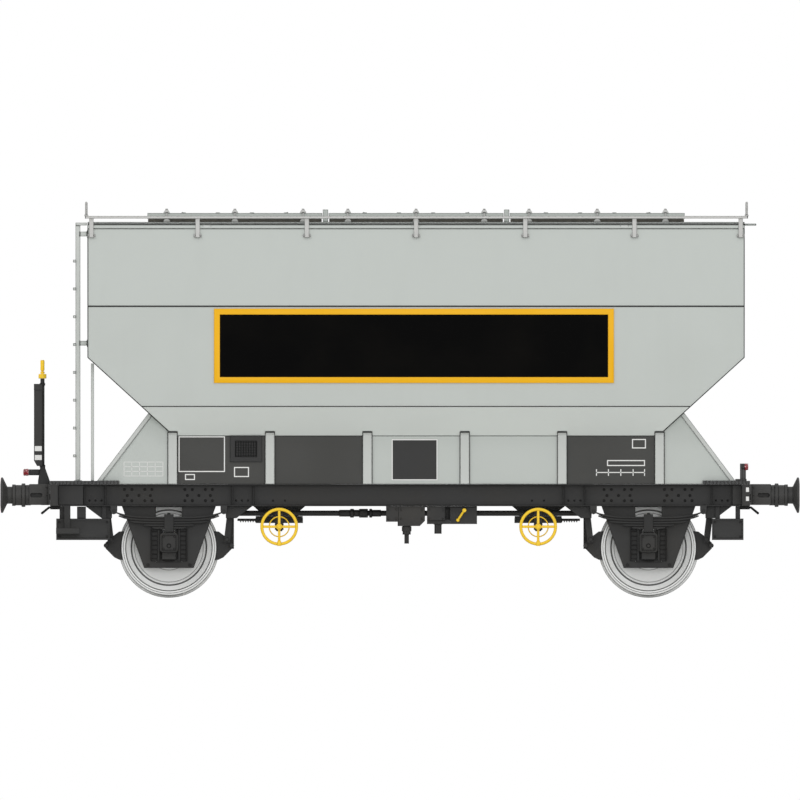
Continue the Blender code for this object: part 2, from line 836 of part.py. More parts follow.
def solebar(name, side):
    length = FRAME_HALF_LENGTH - HEADSTOCK_DEPTH - SEAT
    outline = channel(
        side * WEB_Y, side * FLANGE_Y, SOLEBAR_BOTTOM, SOLEBAR_TOP, WEB_THICK, FLANGE_THICK
    )
    shapes = [slab(outline, "YZ", -length, length)]
    cuts = []
    for end, x in WHEEL_XS.items():
        shapes += axle_guard(end, side)
        shapes += spring_lugs(end, side)
        for offset in STIFFENER_OFFSETS:
            shapes.append(
                block(
                    (x + offset - STIFFENER_THICK / 2, x + offset + STIFFENER_THICK / 2),
                    across(side, WEB_Y + WEB_THICK / 2, WEB_Y + STIFFENER_DEPTH),
                    (SOLEBAR_BOTTOM + FLANGE_THICK / 2, SOLEBAR_TOP - FLANGE_THICK / 2),
                )
            )
        for way in (-1, 1):
            shapes.append(hanger_arm(x + way * HANGER_TOP_X, side))
            plate = [(x + way * dx, SOLEBAR_BOTTOM + dz) for dx, dz in BRACKET_PLATE]
            plate += [(plate[-1][0], SOLEBAR_BOTTOM + 0.020), (plate[0][0], SOLEBAR_BOTTOM + 0.020)]
            shapes.append(slab(plate, "XZ", *across(side, GUARD_IN, GUARD_OUT)))
    for x in bearer_places():
        shapes.append(bearer_seat(x, side))
    sides = 12
    for end, x in OUTLET_XS.items():
        shapes.append(shaft_hanger(end, side))
        bore = flat_radius(SHAFT_RADIUS + SHAFT_PLAY, sides)
        cuts.append(
            rod(
                (x, side * (GUARD_IN - 0.050), SHAFT_Z),
                (x, side * (GUARD_OUT + 0.050), SHAFT_Z),
                bore,
                sides,
            )
        )
    piece(f"solebar_{name}", shapes, FRAME_PAINT, cuts=cuts)


def grab_bar(way, side):
    """The bar under a headstock that a shunter holds while reaching in to the hook."""
    foot_x = way * (FRAME_HALF_LENGTH - GRAB_FOOT_INSET)
    out_x = way * (FRAME_HALF_LENGTH + GRAB_OUT)
    high, low = SOLEBAR_BOTTOM - GRAB_RADIUS, SOLEBAR_BOTTOM - GRAB_DROP
    bend_x = way * (FRAME_HALF_LENGTH + 0.010)
    face = way * (FRAME_HALF_LENGTH - 0.004)
    near, far = side * GRAB_Y[0], side * GRAB_Y[1]
    start_x = foot_x + way * GRAB_RADIUS
    points = [
        (start_x, near, high),
        (bend_x, near, high),
        (out_x, near, low),
        (out_x, far, low),
        (bend_x, far, high),
        (start_x, far, high),
    ]
    plates = [
        block((foot_x, face), (y - 0.030, y + 0.030), (high - 0.020, SOLEBAR_BOTTOM + 0.004))
        for y in (near, far)
    ]
    return [tube(points, GRAB_RADIUS, 1), *plates]


def headstock(end):
    way = ENDS[end]
    face = way * FRAME_HALF_LENGTH
    tip = way * (FRAME_HALF_LENGTH - HEADSTOCK_DEPTH)
    outline = channel(
        face, tip, SOLEBAR_BOTTOM, SOLEBAR_TOP, HEADSTOCK_THICK, HEADSTOCK_THICK
    )
    beam = slab(outline, "XZ", -HEADSTOCK_HALF_WIDTH, HEADSTOCK_HALF_WIDTH)
    shapes = [beam]
    bearer_x = way * END_BEARER_X
    for side in SIDES.values():
        sill = channel(
            side * SILL_Y,
            side * (SILL_Y + SILL_WIDTH),
            SOLEBAR_BOTTOM + FLANGE_THICK,
            SOLEBAR_TOP - FLANGE_THICK,
            WEB_THICK,
            FLANGE_THICK,
        )
        shapes.append(slab(sill, "YZ", way * (FRAME_HALF_LENGTH - 0.006), bearer_x))
    shapes.append(bearer(bearer_x))
    for side in SIDES.values():
        shapes += grab_bar(way, side)
    hole = block(
        (face - 0.050, face + 0.050),
        (-HOOK_THICK / 2 - 0.015, HOOK_THICK / 2 + 0.015),
        (HOOK_Z - 0.050, HOOK_Z + 0.050),
    )
    piece(f"headstock_{end}", shapes, FRAME_PAINT, cuts=[hole])


def bearer_places():
    """Where the three cross-bearers between the axles sit along the wagon."""
    reach = WHEELBASE / 2 - BEARER_SHARE * (OUTLET_FROM_AXLE - OUTLET_LENGTH / 2)
    return [WHEELS_X - reach, WHEELS_X, WHEELS_X + reach]


def bearer(x):
    """A cross-bearer's channel, between the solebars' webs."""
    outline = channel(
        x - BEARER_WIDTH / 2,
        x + BEARER_WIDTH / 2,
        SOLEBAR_BOTTOM + FLANGE_THICK,
        SOLEBAR_TOP - FLANGE_THICK,
        BEARER_THICK,
        FLANGE_THICK,
    )
    reach = GUARD_IN - SEAT
    return slab(outline, "XZ", -reach, reach)


def bearer_seat(x, side):
    """The angle on a solebar that carries a cross-bearer's end."""
    half = BEARER_WIDTH / 2
    return block(
        (x - half, x + half),
        across(side, GUARD_IN, GUARD_OUT),
        (SOLEBAR_BOTTOM + FLANGE_THICK, SOLEBAR_TOP - FLANGE_THICK),
    )


# Buffers and draw hooks


def buffer(end, name, side):
    way = ENDS[end]
    front = LENGTH_OVER_BUFFERS / 2
    head_back = front - BUFFER_HEAD_THICK
    profile = [
        (0, front),
        (BUFFER_HEAD_RADIUS * 0.6, front),
        (BUFFER_HEAD_RADIUS, front - BUFFER_HEAD_DOME),
        (BUFFER_HEAD_RADIUS, head_back + 0.010),
        (PLUNGER_RADIUS, head_back - 0.037),
        (PLUNGER_RADIUS, BARREL_FRONT),
        (COLLAR_RADIUS, BARREL_FRONT),
        (COLLAR_RADIUS, BARREL_FRONT - 0.037),
        (BARREL_RADIUS, BARREL_FRONT - 0.037),
        (BARREL_RADIUS, BARREL_BACK + 0.078),
        (BARREL_RING_RADIUS, BARREL_BACK + 0.076),
        (BARREL_RING_RADIUS, BARREL_BACK + 0.040),
        (BARREL_RADIUS, BARREL_BACK + 0.038),
        (BARREL_RADIUS, BARREL_BACK - 0.020),
        (0, BARREL_BACK - 0.020),
    ]
    sides = 14
    place = (0, side * BUFFER_Y, BUFFER_Z)
    body = turned(profile, place, (way, 0, 0), sides)
    base_back = FRAME_HALF_LENGTH + SEAT
    half_height, half_width = BUFFER_BASE_HEIGHT / 2, BUFFER_BASE_WIDTH / 2
    base = block(
        (way * base_back, way * BARREL_BACK),
        (side * BUFFER_Y - half_width * 0.8, side * BUFFER_Y + half_width * 0.8),
        (BUFFER_Z + 0.012 - half_height, BUFFER_Z + 0.002 + half_height),
    )
    flange = block(
        (way * base_back, way * (base_back + 0.022)),
        (side * BUFFER_Y - half_width - 0.010, side * BUFFER_Y + half_width + 0.010),
        (BUFFER_Z + 0.012 - half_height, BUFFER_Z + 0.002 + half_height),
    )
    slot_end = BARREL_BACK - 0.014
    slot = block(
        (way * slot_end, way * (slot_end - BUFFER_SLOT_LENGTH)),
        (side * BUFFER_Y - half_width * 2, side * BUFFER_Y + half_width * 2),
        (BUFFER_Z - BUFFER_SLOT_HEIGHT / 2, BUFFER_Z + BUFFER_SLOT_HEIGHT / 2),
    )
    piece(f"buffer_{end}_{name}", [base, flange, body], BUFFER_STEEL, cuts=[slot])


def draw_hook(end):
    """The hook, with its shank through the headstock and its seat plate on the outside."""
    way = ENDS[end]
    face = FRAME_HALF_LENGTH + SEAT
    tip = face + HOOK_REACH
    shank = 0.032
    throat = (tip - 0.075, HOOK_Z + 0.012)
    right = [
        (FRAME_HALF_LENGTH - 0.300, HOOK_Z - shank),
        (tip - 0.120, HOOK_Z - shank),
        (tip - 0.060, HOOK_Z - 0.075),
        (tip - 0.015, HOOK_Z - 0.045),
        (tip, HOOK_Z),
        (tip - 0.005, HOOK_Z + 0.055),
        (tip - 0.030, HOOK_Z + 0.078),
        *arc(throat, 0.032, 20, -180, 8),
        (tip - 0.110, HOOK_Z + 0.060),
        (tip - 0.150, HOOK_Z + shank),
        (FRAME_HALF_LENGTH - 0.300, HOOK_Z + shank),
    ]
    outline = [(way * x, z) for x, z in right]
    hook = slab(outline, "XZ", -HOOK_THICK / 2, HOOK_THICK / 2)
    plate = block((way * face, way * (face + 0.014)), (-0.090, 0.090), (HOOK_Z - 0.080, HOOK_Z + 0.080))
    nut_x = FRAME_HALF_LENGTH - 0.290
    nut = rod((way * nut_x, 0, HOOK_Z), (way * (nut_x + 0.060), 0, HOOK_Z), 0.070, 8)
    piece(f"draw_hook_{end}", [plate, hook, nut], BUFFER_STEEL)


# Brake gear


def shoe_outline(x, way):
    """A brake block and its holder, on the side of the wheel that way points to."""
    inner = TREAD_RADIUS + SHOE_CLEARANCE
    face = arc((0, 0), inner, SHOE_LOW_DEG, SHOE_HIGH_DEG, 5)
    low, high = face[0], face[-1]
    drop = BEAM_Z - AXLE_Z
    back = [
        (high[0] + SHOE_THICK, high[1] - 0.004),
        (high[0] + SHOE_THICK + 0.055, high[1] - 0.045),
        (HOLDER_X + HOLDER_PAST_BEAM, drop + BEAM_RADIUS + HOLDER_PAST_BEAM),
        (HOLDER_X + HOLDER_PAST_BEAM, drop - BEAM_RADIUS - HOLDER_PAST_BEAM),
        (low[0] + SHOE_THICK + 0.035, low[1] + 0.027),
        (low[0] + SHOE_THICK * 0.7, low[1] + 0.003),
    ]
    return [(x + way * dx, AXLE_Z + dz) for dx, dz in face + back]


def brake_beam(end, way):
    """Two shoes and their hangers on one beam across the wagon, at one side of an axle."""
    x = WHEEL_XS[end]
    beam_x = x + way * HOLDER_X
    foot_x, top_x = x + way * HANGER_FOOT_X, x + way * HANGER_TOP_X
    reach = HANGER_Y[1]
    shapes = [rod((beam_x, -reach, BEAM_Z), (beam_x, reach, BEAM_Z), BEAM_RADIUS, 8)]
    for side in SIDES.values():
        shoe = slab(shoe_outline(x, way), "XZ", *across(side, *SHOE_Y))
        half = HANGER_WIDTH / 2
        outline = [
            (top_x - half * 0.6, HANGER_TOP),
            (top_x - half, HANGER_TOP - 0.030),
            (foot_x - half, HANGER_FOOT_Z),
            (foot_x + half, HANGER_FOOT_Z),
            (top_x + half, HANGER_TOP - 0.030),
            (top_x + half * 0.6, HANGER_TOP),
        ]
        hanger = slab(outline, "XZ", *across(side, *HANGER_Y))
        pin = rod(
            (foot_x, side * (SHOE_Y[0] + 0.010), HANGER_FOOT_Z + half),
            (foot_x, side * (HANGER_Y[1] + HANGER_PIN_PROUD), HANGER_FOOT_Z + half),
            HANGER_PIN_RADIUS,
            8,
        )
        shapes += [shoe, hanger, pin]
    inner = way == -ENDS[end]
    if inner:
        lever_x = x + way * LEVER_X
        half = LEVER_WIDTH / 2
        shapes.append(
            block(
                (lever_x - half, lever_x + half),
                (PULL_ROD_Y - LEVER_THICK / 2, PULL_ROD_Y + LEVER_THICK / 2),
                (BEAM_Z - LEVER_PAST_BEAM, PULL_ROD_Z + LEVER_PAST_ROD),
            )
        )
    where = "inner" if inner else "outer"
    piece(f"brake_beam_{end}_{where}", shapes, CAST_IRON)


def pull_rod():
    """The rod between the two inner levers, with its length adjuster."""
    start = WHEEL_XS["a"] + LEVER_X + LEVER_WIDTH / 2 + SEAT
    end = WHEEL_XS["b"] - LEVER_X - LEVER_WIDTH / 2 - SEAT
    spans = [(start, end, PULL_ROD_RADIUS)]
    low = ADJUSTER_X
    for length, gap in ADJUSTER_COLLARS:
        spans.append((low, low + length, ADJUSTER_RADIUS))
        low += length + gap
    shapes = [rod((a, PULL_ROD_Y, PULL_ROD_Z), (b, PULL_ROD_Y, PULL_ROD_Z), r, 10) for a, b, r in spans]
    piece("brake_pull_rod", shapes, FRAME_PAINT)


def hung_rod(x, y, low, high, radius, sides=10):
    return rod((x, y, low), (x, y, high), radius, sides)


def brake_valve():
    """The distributor, the load relay and the changeover plate, on one carrier under the near solebar."""
    top = SOLEBAR_BOTTOM - SEAT
    y = (-VALVE_Y[0], -VALVE_Y[1])
    middle = sum(y) / 2
    carrier = block((VALVE_HEAD_X[0], CHANGEOVER_X[1]), (middle - 0.050, middle + 0.050), (top - CARRIER_THICK, top))
    body_x = (VALVE_HEAD_X[1] - 0.005, VALVE_BODY_END)
    corner = 0.055
    body = [
        (body_x[0], top),
        (body_x[0], VALVE_BODY_LOW),
        (body_x[1] - corner, VALVE_BODY_LOW),
        (body_x[1], VALVE_BODY_LOW + corner),
        (body_x[1], top),
    ]
    shapes = [
        carrier,
        block(VALVE_HEAD_X, y, (VALVE_HEAD_LOW, top)),
        slab(body, "XZ", *y),
        hung_rod(NOZZLE_X, middle, NOZZLE_LOW, VALVE_BODY_LOW + 0.020, NOZZLE_RADIUS),
        hung_rod(NOZZLE_X, middle, STEM_LOW, NOZZLE_LOW + 0.020, STEM_RADIUS, 8),
        block(RELAY_X, y, (RELAY_LOW, top)),
        block((RELAY_X[0], RELAY_FOOT_END), (middle - 0.050, middle + 0.050), (RELAY_FOOT_LOW, RELAY_LOW + 0.010)),
        hung_rod(RELAY_STUB_X, middle, RELAY_STUB_LOW, RELAY_LOW, RELAY_STUB_RADIUS),
    ]
    face = y[0] + CHANGEOVER_SET_BACK
    shapes.append(block(CHANGEOVER_X, (face, face + CHANGEOVER_THICK), (CHANGEOVER_LOW, top)))
    pivot_x, pivot_z, tip_x, tip_z = CHANGEOVER_LEVER
    boss = face - CHANGEOVER_BOSS
    shapes.append(rod((pivot_x, boss, pivot_z), (pivot_x, face + 0.004, pivot_z), 0.020, 8))
    lever_y = face - CHANGEOVER_BOSS / 2
    shapes.append(rod((pivot_x, lever_y, pivot_z), (tip_x, lever_y, tip_z), CHANGEOVER_LEVER_RADIUS, 6))
    piece("brake_valve", shapes, CAST_IRON)


def end_box(end, x, out):
    """A closed box hung under the near solebar by two straps."""
    top = SOLEBAR_BOTTOM - SEAT
    shapes = [block(x, (-out, -out + END_BOX_DEPTH), END_BOX_Z)]
    strap_y = -out + END_BOX_STRAP_INSET
    for strap_x in (x[0] + END_BOX_STRAP_FROM_END, x[1] - END_BOX_STRAP_FROM_END):
        shapes.append(
            block(
                (strap_x - END_BOX_STRAP_WIDTH / 2, strap_x + END_BOX_STRAP_WIDTH / 2),
                (strap_y, strap_y + END_BOX_STRAP_THICK),
                (END_BOX_Z[1] - 0.014, top),
            )
        )
    piece(f"end_box_{end}", shapes, FRAME_PAINT)


def side_step(name, side):
    """The step below the brake platform, hung from the solebar's bottom flange by a strap."""
    top = SOLEBAR_BOTTOM - SEAT
    inner, outer = FLANGE_Y + STEP_CLEAR, FLANGE_Y + STEP_CLEAR + STEP_DEPTH
    middle = inner + STEP_THICK / 2
    strap_low, strap_high = STEP_STRAP_X
    lug_x = (strap_low + 0.003, strap_high - 0.003)
    lug = block(lug_x, across(side, FLANGE_Y - STEP_LUG, middle), (top - STEP_THICK, top))
    strap = block(STEP_STRAP_X, across(side, inner, inner + STEP_THICK), (STEP_Z[0] + STEP_THICK / 2, top + 0.010))
    low, high = STEP_Z
    tread = [
        (side * (inner + 0.001), low),
        (side * outer, low),
        (side * outer, high),
        (side * (outer - STEP_THICK), high),
        (side * (outer - STEP_THICK), low + STEP_THICK),
        (side * (inner + 0.001), low + STEP_THICK),
    ]
    piece(f"step_{name}", [strap, lug, slab(tread, "YZ", *STEP_X)], FRAME_PAINT)


# Hopper


def fold_z(y):
    """Height of the folded side's outer face at a distance from the centre line."""
    return OUTLET_TOP + y - OUTLET_HALF_WIDTH


def hopper_section():
    """The body seen along the wagon, anticlockwise from the top at +Y."""
    far = [
        (CANTRAIL_HALF_WIDTH, ROOF_UNDER - SEAT),
        (CANTRAIL_HALF_WIDTH, EAVES_Z),
        (BODY_HALF_WIDTH, LEAN_Z),
        (BODY_HALF_WIDTH, FOLD_Z),
        (OUTLET_HALF_WIDTH, OUTLET_TOP),
        (OUTLET_HALF_WIDTH, OUTLET_BOTTOM),
    ]
    return [(-y, z) for y, z in far] + [(y, z) for y, z in reversed(far)]


def hopper_ends():
    """The outer points of each end sheet, from the top down to its outlet."""
    made = {}
    for end, way in ENDS.items():
        wall = BODY_X + way * BODY_LENGTH / 2
        knuckle = wall - way * (END_WALL_Z - KNUCKLE_Z) / END_SLOPE
        edge = OUTLET_XS[end] + way * OUTLET_LENGTH / 2
        made[end] = [
            (wall, ROOF_UNDER - SEAT),
            (wall, END_WALL_Z),
            (knuckle, KNUCKLE_Z),
            (edge, OUTLET_TOP),
            (edge, OUTLET_BOTTOM),
        ]
    return made


def saddle_points():
    """The under side of the saddle, from the outlet at -X to the one at +X."""
    left = OUTLET_XS["a"] + OUTLET_LENGTH / 2
    right = OUTLET_XS["b"] - OUTLET_LENGTH / 2
    return [
        (left, OUTLET_BOTTOM),
        (left, OUTLET_TOP),
        (WHEELS_X, SADDLE_Z),
        (right, OUTLET_TOP),
        (right, OUTLET_BOTTOM),
    ]


def hopper_side_outline():
    """The whole body seen from the side, anticlockwise from the top at -X."""
    ends = hopper_ends()
    return ends["a"] + saddle_points() + list(reversed(ends["b"]))


def side_clip_outline():
    """The body from the side, but with its sides carried down behind the side frames between the bays."""
    ends = hopper_ends()
    foot = fold_z(PANEL_Y[0]) - SIDE_FOOT_DROP
    left, right = saddle_points()[1], saddle_points()[3]
    share = (foot - OUTLET_TOP) / (SADDLE_Z - OUTLET_TOP)
    cut = [
        (left[0] + (WHEELS_X - left[0]) * share, foot),
        (right[0] + (WHEELS_X - right[0]) * share, foot),
    ]
    middle = saddle_points()[:2] + cut + saddle_points()[3:]
    return ends["a"] + middle + list(reversed(ends["b"]))


def strip(outline, first, last, thick):
    """The band between part of an outline and the same part moved inwards."""
    inner = inset(outline, thick)
    return outline[first : last + 1] + list(reversed(inner[first : last + 1]))


def body_sides():
    section = hopper_section()
    half = len(section) // 2
    spans = {"near": (0, half - 1), "far": (half, 2 * half - 1)}
    reach = BODY_LENGTH
    for name, side in SIDES.items():
        sheet = slab(strip(section, *spans[name], SHEET), "YZ", -reach, reach)
        inside = slab(side_clip_outline(), "XZ", -BODY_HALF_WIDTH * 2, BODY_HALF_WIDTH * 2)
        lean = (BODY_HALF_WIDTH - CANTRAIL_HALF_WIDTH) / (EAVES_Z - LEAN_Z)
        top = EAVES_Z - 0.001
        low = top - CANTRAIL_HEIGHT
        inner, out = CANTRAIL_HALF_WIDTH - SHEET / 2, CANTRAIL_HALF_WIDTH + CANTRAIL_PROUD
        rail = [
            (side * inner, top),
            (side * out, top),
            (side * (out + CANTRAIL_HEIGHT * lean), low),
            (side * (inner + CANTRAIL_HEIGHT * lean), low),
        ]
        cantrail = slab(rail, "YZ", BODY_START, BODY_END)
        piece(f"body_side_{name}", [sheet, cantrail], BODY_PAINT, inside=[inside])


def body_ends():
    outline = hopper_side_outline()
    count = len(outline)
    spans = {"a": (0, 4), "b": (count - 5, count - 1)}
    for end in ENDS:
        sheet = slab(strip(outline, *spans[end], SHEET), "XZ", -BODY_HALF_WIDTH, BODY_HALF_WIDTH)
        room = inset(hopper_section(), SHEET + SEAT)
        inside = slab(lowered(room), "YZ", -BODY_LENGTH, BODY_LENGTH)
        body = part_cut(sheet, inside=[inside])
        shapes = [body]
        if end == "b":
            shapes.append(end_rail())
        piece(f"body_end_{end}", shapes, BODY_PAINT)


def end_rail():
    """The handrail across the plain end, under the roof's edge."""
    wall, out = BODY_END - SHEET / 2, BODY_END + END_RAIL_OUT
    z = ROOF_UNDER - END_RAIL_DROP
    points = [
        (wall, -END_RAIL_HALF, z),
        (out, -END_RAIL_HALF, z),
        (out, END_RAIL_HALF, z),
        (wall, END_RAIL_HALF, z),
    ]
    return tube(points, END_RAIL_RADIUS, 1)


def lowered(room):
    """The inner section with its top and bottom edges put back to the sheets' ends."""
    highest = max(z for _, z in room)
    lowest = min(z for _, z in room)
    return [
        (y, ROOF_UNDER - SEAT if z == highest else OUTLET_BOTTOM if z == lowest else z) for y, z in room
    ]


def gate_frame(end):
    """The flange under an outlet, with the rails that its gate slides in."""
    x = OUTLET_XS[end]
    half = GATE_FRAME_LENGTH / 2
    wide = GATE_HALF_WIDTH + RUNNING + RAIL_THICK
    low, high = GATE_TOP + RUNNING, OUTLET_BOTTOM - SEAT
    frame = [(x - half, -wide), (x + half, -wide), (x + half, wide), (x - half, wide)]
    mouth_x, mouth_y = OUTLET_LENGTH / 2 - SHEET, OUTLET_HALF_WIDTH - SHEET
    mouth = [
        (x - mouth_x, -mouth_y),
        (x + mouth_x, -mouth_y),
        (x + mouth_x, mouth_y),
        (x - mouth_x, mouth_y),
    ]
    shapes = [slab(frame, "XY", low, high, holes=[mouth])]
    under = GATE_TOP - GATE_THICK - SEAT
    for side in SIDES.values():
        web = block((x - half, x + half), across(side, wide - RAIL_THICK, wide), (under - RAIL_THICK, high))
        ledge = block(
            (x - half, x + half),
            across(side, wide - RAIL_THICK - 0.045, wide),
            (under - RAIL_THICK, under),
        )
        shapes += [web, ledge]
    return shapes


def saddle():
    points = saddle_points()
    low = GATE_TOP + RUNNING
    outline = [(x, low if z == OUTLET_BOTTOM else z) for x, z in points]
    under = [(BODY_START, low), *outline, (BODY_END, low), (BODY_END, 3.0), (BODY_START, 3.0)]
    sheet = slab(strip(under, 1, len(points), SHEET), "XZ", -BODY_HALF_WIDTH, BODY_HALF_WIDTH)
    room = inset(hopper_section(), SHEET + SEAT)
    lowest = min(z for _, z in room)
    inside = slab([(y, low if z == lowest else z) for y, z in room], "YZ", -BODY_LENGTH, BODY_LENGTH)
    shapes = gate_frame("a") + gate_frame("b")
    piece("saddle", [part_cut(sheet, inside=[inside]), *shapes], BODY_PAINT)


# Side frames


def below_end_sheet(x):
    """Height just under the sloping end sheets at a place along the wagon."""
    way = -1 if x < BODY_X else 1
    wall = BODY_X + way * BODY_LENGTH / 2
    return END_WALL_Z - abs(wall - x) * END_SLOPE - 2 * SEAT


def side_frame(name, side):
    """Posts on the solebar with their panels, and a gusset and brace at each end."""
    foot = SOLEBAR_TOP + SEAT
    half_run = (POSTS - 1) * POST_PITCH / 2 + POST_WIDTH / 2
    top = fold_z(FRAME_Y[1]) + 0.100
    panel = block((BODY_X - half_run, BODY_X + half_run), across(side, *PANEL_Y), (foot, top))
    shapes = []
    for i in range(POSTS):
        x = BODY_X + (i - (POSTS - 1) / 2) * POST_PITCH
        shapes.append(
            block((x - POST_WIDTH / 2, x + POST_WIDTH / 2), across(side, *FRAME_Y), (foot, top))
        )
    for way in (-1, 1):
        edge = BODY_X + way * (half_run - 0.004)
        deck_end = DECK_A_END if way < 0 else DECK_B_START
        over_deck = DECK_TOP + SEAT
        clear = deck_end - way * SEAT
        foot_x = edge + way * BRACE_FOOT
        top_x = edge + way * BRACE_TOP
        thick = way * BRACE_WIDTH
        gusset = [
            (edge, foot),
            (clear, foot),
            (clear, over_deck),
            (foot_x - thick / 2, over_deck),
            (top_x - thick / 2, below_end_sheet(top_x - thick / 2)),
            (edge, below_end_sheet(edge)),
        ]
        shapes.append(slab(gusset, "XZ", *across(side, *PANEL_Y)))
        brace = [
            (foot_x - thick, over_deck),
            (foot_x, over_deck),
            (top_x, below_end_sheet(top_x)),
            (top_x - thick, below_end_sheet(top_x - thick)),
        ]
        shapes.append(slab(brace, "XZ", *across(side, *FRAME_Y)))
    inner, outer = FRAME_Y[0] - 0.100, FRAME_Y[1] + 0.100
    wedge = [
        (side * inner, fold_z(inner) - 2 * SEAT),
        (side * outer, fold_z(outer) - 2 * SEAT),
        (side * inner, fold_z(outer) + 0.600),
    ]
    under_fold = slab(wedge, "YZ", BODY_X - half_run - SEAT, BODY_X + half_run + SEAT)
    piece(f"side_frame_{name}", [panel, *shapes], TRIM_PAINT, cuts=[under_fold])


# Roof, lids and walkways


def lid_spans():
    length = (HATCH_LENGTH - (LIDS - 1) * DIVIDER) / LIDS
    start = BODY_X - HATCH_LENGTH / 2
    return [(start + i * (length + DIVIDER), start + i * (length + DIVIDER) + length) for i in range(LIDS)]


def hinge_places(span):
    """Where each of a lid's two hinges sits along the wagon."""
    length = span[1] - span[0]
    return [span[0] + length * share for share in (0.2, 0.8)]


def coaming_span(span):
    """A hatch's coaming, which stands inside the lid's skirt."""
    clear = LID_THICK + RUNNING
    return span[0] + clear, span[1] - clear


def roof():
    deck_y = CANTRAIL_HALF_WIDTH - 0.004
    top = ROOF_UNDER + ROOF_THICK
    rim = LID_TOP - LID_THICK - SEAT
    plate = [(BODY_START, -deck_y), (BODY_END, -deck_y), (BODY_END, deck_y), (BODY_START, deck_y)]
    holes = []
    shapes = []
    for span in lid_spans():
        low, high = coaming_span(span)
        y = HATCH_HALF_WIDTH
        inner = [
            (low + COAMING, -y + COAMING),
            (high - COAMING, -y + COAMING),
            (high - COAMING, y - COAMING),
            (low + COAMING, y - COAMING),
        ]
        holes.append(inner)
        outer = [(low, -y), (high, -y), (high, y), (low, y)]
        shapes.append(slab(outer, "XY", ROOF_UNDER + 0.004, rim, holes=[inner]))
        for x in hinge_places(span):
            for way in (-1, 1):
                ear_x = x + way * (HINGE_EAR + 0.004 + RUNNING)
                outline = [
                    (HATCH_HALF_WIDTH - 0.004, ROOF_UNDER + 0.008),
                    (HINGE_Y + 0.030, ROOF_UNDER + 0.008),
                    *arc((HINGE_Y, HINGE_Z), HINGE_EYE_RADIUS, 0, 150, 3),
                    (HATCH_HALF_WIDTH - 0.004, HINGE_Z - 0.020),
                ]
                shapes.append(slab(outline, "YZ", ear_x - HINGE_EAR / 2, ear_x + HINGE_EAR / 2))
            reach = 2 * HINGE_EAR + RUNNING
            shapes.append(
                rod((x - reach, HINGE_Y, HINGE_Z), (x + reach, HINGE_Y, HINGE_Z), HINGE_PIN_RADIUS, 6)
            )
    spans = lid_spans()
    for first, second in zip(spans, spans[1:]):
        x = (first[1] + second[0]) / 2
        half = DIVIDER / 2 - RUNNING
        shapes.append(block((x - half, x + half), (-DIVIDER_HALF_WIDTH, DIVIDER_HALF_WIDTH), (ROOF_UNDER + 0.004, DIVIDER_TOP)))
    main = slab(plate, "XY", ROOF_UNDER, top, holes=holes)
    piece("roof", [main, *shapes], BODY_PAINT)


def latches(x):
    """The screw latches along a lid's front edge, about its middle."""
    y = -HATCH_HALF_WIDTH + LATCH_INSET
    return [
        rod((x + offset, y, LID_TOP - 0.004), (x + offset, y, LATCH_TOP), LATCH_RADIUS, 8, LATCH_TIP_RADIUS)
        for offset in LATCH_OFFSETS
    ]


def lid(number, span):
    """A tray with its skirt on three sides. The hinge side has none, so that it can swing."""
    low, high = span
    under = LID_TOP - LID_THICK
    front = -HATCH_HALF_WIDTH - RUNNING - LID_THICK
    back = HATCH_HALF_WIDTH + 0.012
    skirt_low = LID_TOP - LID_SKIRT
    shapes = [
        block((low, high), (front, back), (under, LID_TOP)),
        block((low, high), (front, front + LID_THICK), (skirt_low, LID_TOP - 0.002)),
        block((low, low + LID_THICK), (front, back), (skirt_low, LID_TOP - 0.002)),
        block((high - LID_THICK, high), (front, back), (skirt_low, LID_TOP - 0.002)),
    ]
    shapes += latches((low + high) / 2)
    sides = 6
    bore = flat_radius(HINGE_PIN_RADIUS + JOURNAL_PLAY, sides)
    cuts = []
    for x in hinge_places(span):
        outline = [
            (back - 0.060, under + 0.004),
            (back - 0.060, LID_TOP + 0.010),
            *arc((HINGE_Y, HINGE_Z), HINGE_EYE_RADIUS, 90, -90, 4),
            (HINGE_Y - 0.012, HINGE_Z - 0.010),
            (HINGE_Y - 0.014, under + 0.004),
        ]
        shapes.append(slab(outline, "YZ", x - HINGE_EAR / 2, x + HINGE_EAR / 2))
        cuts.append(rod((x - 0.050, HINGE_Y, HINGE_Z), (x + 0.050, HINGE_Y, HINGE_Z), bore, sides))
    made = piece(f"lid_{number}", shapes, BODY_PAINT, cuts=cuts)
    pivot(f"lid_{number}_axis", ((low + high) / 2, HINGE_Y, HINGE_Z), [made])


def side_y(z):
    """Half the body's width at a height on the leaning side."""
    share = (z - LEAN_Z) / (EAVES_Z - LEAN_Z)
    return BODY_HALF_WIDTH + (CANTRAIL_HALF_WIDTH - BODY_HALF_WIDTH) * share


